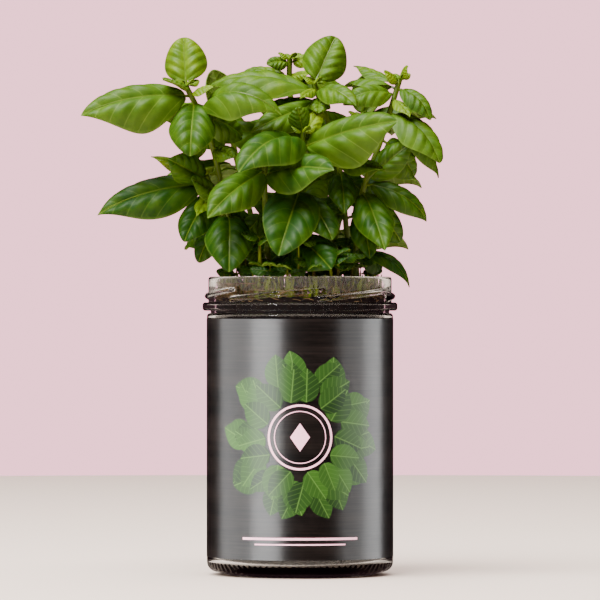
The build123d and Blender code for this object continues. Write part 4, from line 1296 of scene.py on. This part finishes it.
class PLANTER_OT_leaves(bpy.types.Operator):
    """Grows each leaf as a quilted blade with its stalk and midrib"""

    bl_idname = "planter.leaves"
    bl_label = "Leaves"

    def execute(self, context):
        settings = context.scene.planter_basil
        materials = [leaf_material(settings), leaf_under_material(settings), stem_material(settings)]
        chance = Random(23)
        for group, rows in self.leaf_groups(settings).items():
            bm = bmesh.new()
            for stem, leaf, seat_radius in rows:
                mesh = self.grow(stem, leaf, seat_radius, settings.thickness, chance)
                bm.from_mesh(mesh)
                bpy.data.meshes.remove(mesh)
            node = f"{group}_leaves"
            nodes = [node] if node in frame["nodes"] else []
            new_piece(f"{group}_foliage", bm, "plant_plug", "basil_leaf", materials, *nodes)
        return {"FINISHED"}

    def leaf_groups(self, settings):
        """The leaves of each group, each with its stem and the radius of what it is seated on."""
        groups = {
            group: [(STEMS[stem_name], leaf, STEM_RADIUS) for leaf in rows]
            for group, (stem_name, rows) in LEAVES.items()
        }
        tiers = [
            sprig._replace(height=sprig.height + level, turn=sprig.turn + turn)
            for sprig in sprigs(settings.sprig_count)
            for level, turn in SPRIG_TIERS
        ]
        for group, plants, size in (("seedling", SEEDLINGS, 1.0), ("sprig", tiers, SPRIG_SIZE)):
            pairs = [seedling_leaves(plant, size) for plant in plants]
            groups[group] = [(stem, leaf, SEEDLING_RADIUS) for stem, pair in pairs for leaf in pair]
        groups["bud"] = [
            (stem, bud_leaf(stem, turn), STEM_RADIUS) for stem in STEMS.values() for turn in BUD_TURNS
        ]
        return groups

    def grow(self, stem, leaf, seat_radius, thickness, chance):
        """One leaf: a grid laid along its bowed midrib and thickened, with its stalk."""
        bm = bmesh.new()
        uv = bm.loops.layers.uv.new("UVMap")
        tone = bm.verts.layers.float.new("leaf_tone")
        margin = bm.verts.layers.float.new("leaf_margin")
        node = above_rim(stem.nodes[leaf.node])
        below = above_rim(stem.nodes[leaf.node - 1]) if leaf.node else stem_foot(stem)
        seat = node + (below - node).normalized() * leaf.down
        tip = above_rim(leaf.tip)
        young = leaf.width < YOUNG_WIDTH
        stalk_length = YOUNG_STALK_LENGTH if young else STALK_LENGTH
        stalk = YOUNG_STALK_THICKNESS if young else STALK_THICKNESS
        start = seat + (tip - seat).normalized() * STALK_SEAT * seat_radius
        chord = tip - start
        along = chord.normalized()
        facing = Vector(leaf.facing)
        normal = (facing - along * facing.dot(along)).normalized()
        across = normal.cross(along)
        bare = 0.5 * min(stalk_length / chord.length, LONGEST_STALK_SHARE)
        height_share = min(1.0, max(0.0, leaf.tip[2] / PAINTED_SHADE_ENDS_ABOVE_RIM))
        fresh = young and leaf.tip[2] > FRESH_ABOVE_RIM
        shade = chance.uniform(*(FRESH_TONES if fresh else FULL_TONES))
        # Painted shade: a leaf's tone rises with its height, so the low leaves are darker.
        if not fresh:
            shade += 0.5 * height_share
        phase = chance.uniform(0, math.tau)
        tip_hang = TIP_HANG * chord.length * chance.uniform(0.2, 1.0)
        # Upright leaves are flatter than hanging ones. Broad, upright and hanging leaves are rounder.
        bow = leaf.arch * (0.85 - 0.6 * max(0.0, along.z))
        width = min(leaf.width, WIDEST_SHARE * chord.length)
        roundness = min(1.0, max(0.0, (width / chord.length - 0.35) / 0.35 + 0.6 * abs(along.z)))
        taper = 0.8 - 0.36 * roundness
        pointed = 0.5 - 0.35 * roundness

        def spine(share):
            middle = start + chord * share + normal * bow * 4 * share * (1 - share)
            heading = (chord + normal * bow * 4 * (1 - 2 * share)).normalized()
            return middle, heading, heading.cross(across)

        columns, lanes = (20, 8) if young else (48, 16)
        made = bmesh.ops.create_grid(bm, x_segments=columns, y_segments=lanes, size=1)["verts"]
        flat = {}
        for vert in made:
            share = (vert.co.x + 1) / 2
            share = 0.6 * share + 0.4 * (1 - math.cos(math.pi * share)) / 2
            side = vert.co.y
            breadth = 0.0
            if 0 < share < 1:
                breadth = math.sin(math.pi * share ** 0.88) ** (taper + pointed * share * share)
            off = abs(side) * breadth
            middle, _, up = spine(bare + (1 - bare) * share)
            rise = width * blade_relief(share, side, breadth, phase)
            rise = rise - leaf.droop * off * off - tip_hang * share ** 4
            spot = middle + across * (side * breadth * width / 2) + up * rise
            flat[vert] = (share, 0.5 + 0.5 * side * breadth)
            vert[tone] = shade
            vert[margin] = abs(side)
            vert.co = spot * MM
        faces = faces_of(made)
        lay_map(faces, uv, flat)
        bmesh.ops.remove_doubles(bm, verts=made, dist=NEAR)
        faces = [face for face in faces if face.is_valid]
        bmesh.ops.recalc_face_normals(bm, faces=faces)
        if sum(face.normal.dot(normal) for face in faces) < 0:
            bmesh.ops.reverse_faces(bm, faces=faces)
        top = set(faces)
        extra = bmesh.ops.solidify(bm, geom=faces, thickness=thickness)["geom"]
        for face in only(extra, bmesh.types.BMFace):
            if face not in top:
                face.material_index = 1
        self.add_stalk(bm, spine, across, stalk, bare, width)
        mesh = bpy.data.meshes.new("leaf")
        bm.to_mesh(mesh)
        bm.free()
        return mesh

    def add_stalk(self, bm, spine, across, stalk, bare, width):
        """A stalk along a leaf's spine that runs on under the blade as its midrib and gets thinner."""
        ring = bmesh.ops.create_circle(bm, cap_ends=True, radius=1.0, segments=7)["verts"]
        edges = edges_of(ring)
        stations = 12
        placed = Matrix.Identity(4)
        for count in range(stations + 1):
            share = MIDRIB_SHARE * count / stations
            middle, heading, up = spine(share)
            blade_share = max(0.0, (share - bare) / (1 - bare))
            wide = (stalk / 2) * (1 - MIDRIB_TAPER * blade_share) * (0.85 if share > bare else 1.0)
            sunk = min(1.0, blade_share * 6) * (wide * 0.75 + 0.022 * width)
            middle = middle - up * sunk
            turn = Matrix((across, up, heading)).transposed().to_4x4()
            target = Matrix.Translation(middle * MM) @ turn @ Matrix.Scale(wide * MM, 4)
            if count:
                grown = bmesh.ops.extrude_edge_only(bm, edges=edges)["geom"]
                ring = only(grown, bmesh.types.BMVert)
                edges = [
                    edge for edge in only(grown, bmesh.types.BMEdge)
                    if all(vert in ring for vert in edge.verts)
                ]
            bmesh.ops.transform(bm, matrix=target @ placed.inverted(), verts=ring)
            placed = target
            for face in faces_of(ring):
                face.material_index = 2
        bmesh.ops.contextual_create(bm, geom=edges, mat_nr=2)


class PLANTER_OT_stage(bpy.types.Operator):
    """Sets up the floor, the soft lamps and the camera"""

    bl_idname = "planter.stage"
    bl_label = "Stage"

    def execute(self, context):
        settings = context.scene.planter_stage
        self.lay_floor(context, settings)
        self.light_surround(context, settings)
        self.hang_lamps(context)
        self.set_camera(context, settings)
        return {"FINISHED"}

    def lay_floor(self, context, settings):
        """A round floor of pale board."""
        bm = bmesh.new()
        bmesh.ops.create_circle(bm, cap_ends=True, radius=1.25, segments=96)
        mesh = bpy.data.meshes.new("floor")
        bm.to_mesh(mesh)
        bm.free()
        made, _, shader = new_material("floor_matt_board")
        feed(shader, {"Base Color": settings.floor, "Roughness": 0.6})
        mesh.materials.append(made)
        floor = bpy.data.objects.new("floor", mesh)
        context.scene.collection.objects.link(floor)
        # The glass and the label would mirror the bright floor all over.
        floor.visible_glossy = False

    def light_surround(self, context, settings):
        """A backdrop that is pale where it is seen, also through the glass, and lights the planter little."""
        world = bpy.data.worlds.new("studio")
        world.use_nodes = True
        tree = world.node_tree
        seen = add_node(tree, "ShaderNodeLightPath", {})
        bounced = add_node(tree, "ShaderNodeMath", {
            0: seen.outputs["Glossy Depth"], 1: seen.outputs["Diffuse Depth"],
        }, operation="ADD")
        straight = add_node(tree, "ShaderNodeMath", {0: bounced.outputs[0], 1: 0.5}, operation="LESS_THAN")
        through = add_node(tree, "ShaderNodeMath", {
            0: seen.outputs["Is Transmission Ray"], 1: straight.outputs[0], 2: seen.outputs["Is Camera Ray"],
        }, operation="MULTIPLY_ADD")
        dim = add_node(tree, "ShaderNodeMapRange", {
            "Value": seen.outputs["Glossy Depth"], "To Min": settings.fill, "To Max": settings.mirrored,
        })
        light = add_node(tree, "ShaderNodeMapRange", {
            "Value": through.outputs[0], "To Min": dim.outputs[0], "To Max": settings.backdrop,
        })
        feed(tree.nodes["Background"], {"Color": settings.surround, "Strength": light.outputs[0]})
        context.scene.world = world

    def hang_lamps(self, context):
        """Soft lamps that each light their own things.

        The label's panels give it soft bands, a small lamp gives the glass narrow highlights, one evens out
        the floor, and the top one lights everything but the glass.
        """
        lit = {
            name: bpy.data.collections.new(f"{name}_receivers")
            for name in ("glass", "label", "floor", "other")
        }
        for item in context.scene.objects:
            if item.type == "MESH":
                kind = "glass" if item.name == "jar_glass" else item.name.split("_")[0]
                lit[kind if kind in lit else "other"].objects.link(item)
        for item in [*lit["label"].objects, *lit["floor"].objects]:
            lit["other"].objects.link(item)
        aim = Vector((0, 0, 0.12))
        for name, place, wide, high, power, receivers in (
            ("lamp_floor", (0, 0.3, 1.6), 2.4, 2.4, 60.0, "floor"),
            ("lamp_top", (-0.35, -0.45, 1.2), 0.9, 0.9, 42.0, "other"),
            ("lamp_glass", (-0.6, -0.8, 0.9), 0.25, 0.25, 3.0, "glass"),
            ("panel_left", (-0.6, -0.67, 0.12), 0.55, 0.7, 31.0, "label"),
            ("panel_left_back", (-0.9, -0.08, 0.12), 0.95, 0.7, 17.0, "label"),
            ("panel_right", (0.83, -0.34, 0.12), 0.58, 0.7, 6.5, "label"),
            ("panel_right_back", (0.89, 0.16, 0.12), 0.48, 0.7, 13.0, "label"),
        ):
            lamp = bpy.data.lights.new(name, "AREA")
            lamp.shape = "RECTANGLE"
            lamp.size = wide
            lamp.size_y = high
            lamp.energy = power
            holder = bpy.data.objects.new(name, lamp)
            holder.location = place
            holder.rotation_euler = (aim - Vector(place)).to_track_quat("-Z", "Y").to_euler()
            holder.visible_camera = False
            holder.light_linking.receiver_collection = lit[receivers]
            context.scene.collection.objects.link(holder)

    def set_camera(self, context, settings):
        """A level camera at the front, far enough away for nearly parallel lines."""
        lens = bpy.data.cameras.new("camera")
        lens.lens = lens.sensor_width * settings.camera_distance / settings.view_width
        lens.clip_end = 50
        camera = bpy.data.objects.new("camera", lens)
        camera.location = (0, -settings.camera_distance, settings.view_height)
        camera.rotation_euler = (math.pi / 2, 0, 0)
        context.scene.collection.objects.link(camera)
        context.scene.camera = camera


class PLANTER_PT_panel(bpy.types.Panel):
    """The planter's pieces and their settings"""

    bl_label = "Jar planter"
    bl_idname = "PLANTER_PT_panel"
    bl_space_type = "VIEW_3D"
    bl_region_type = "UI"
    bl_category = "Planter"

    def draw(self, context):
        for group in SETTINGS:
            settings = getattr(context.scene, group)
            for name in settings.bl_rna.properties.keys():
                if name not in ("rna_type", "name"):
                    self.layout.prop(settings, name)
        for operator in OPERATORS:
            self.layout.operator(operator.bl_idname)


SETTINGS = {
    "planter_jar": JarSettings,
    "planter_label": LabelSettings,
    "planter_coir": CoirSettings,
    "planter_basil": BasilSettings,
    "planter_stage": StageSettings,
}
OPERATORS = (
    PLANTER_OT_glass_jar,
    PLANTER_OT_label,
    PLANTER_OT_coir,
    PLANTER_OT_fibre,
    PLANTER_OT_roots,
    PLANTER_OT_stems,
    PLANTER_OT_leaves,
    PLANTER_OT_stage,
)


def register():
    """Registers the settings, the operators and the panel."""
    for group, settings in SETTINGS.items():
        bpy.utils.register_class(settings)
        setattr(bpy.types.Scene, group, PointerProperty(type=settings))
    for operator in OPERATORS:
        bpy.utils.register_class(operator)
    bpy.utils.register_class(PLANTER_PT_panel)


def unregister():
    """Takes the panel, the operators and the settings out again."""
    bpy.utils.unregister_class(PLANTER_PT_panel)
    for operator in OPERATORS:
        bpy.utils.unregister_class(operator)
    for group, settings in SETTINGS.items():
        delattr(bpy.types.Scene, group)
        bpy.utils.unregister_class(settings)


def main():
    """Makes every piece in order."""
    register()
    bpy.ops.planter.glass_jar()
    bpy.ops.planter.label()
    bpy.ops.planter.coir()
    bpy.ops.planter.fibre()
    bpy.ops.planter.roots()
    bpy.ops.planter.stems()
    bpy.ops.planter.leaves()
    bpy.ops.planter.stage()


if __name__ == "__main__":
    main()
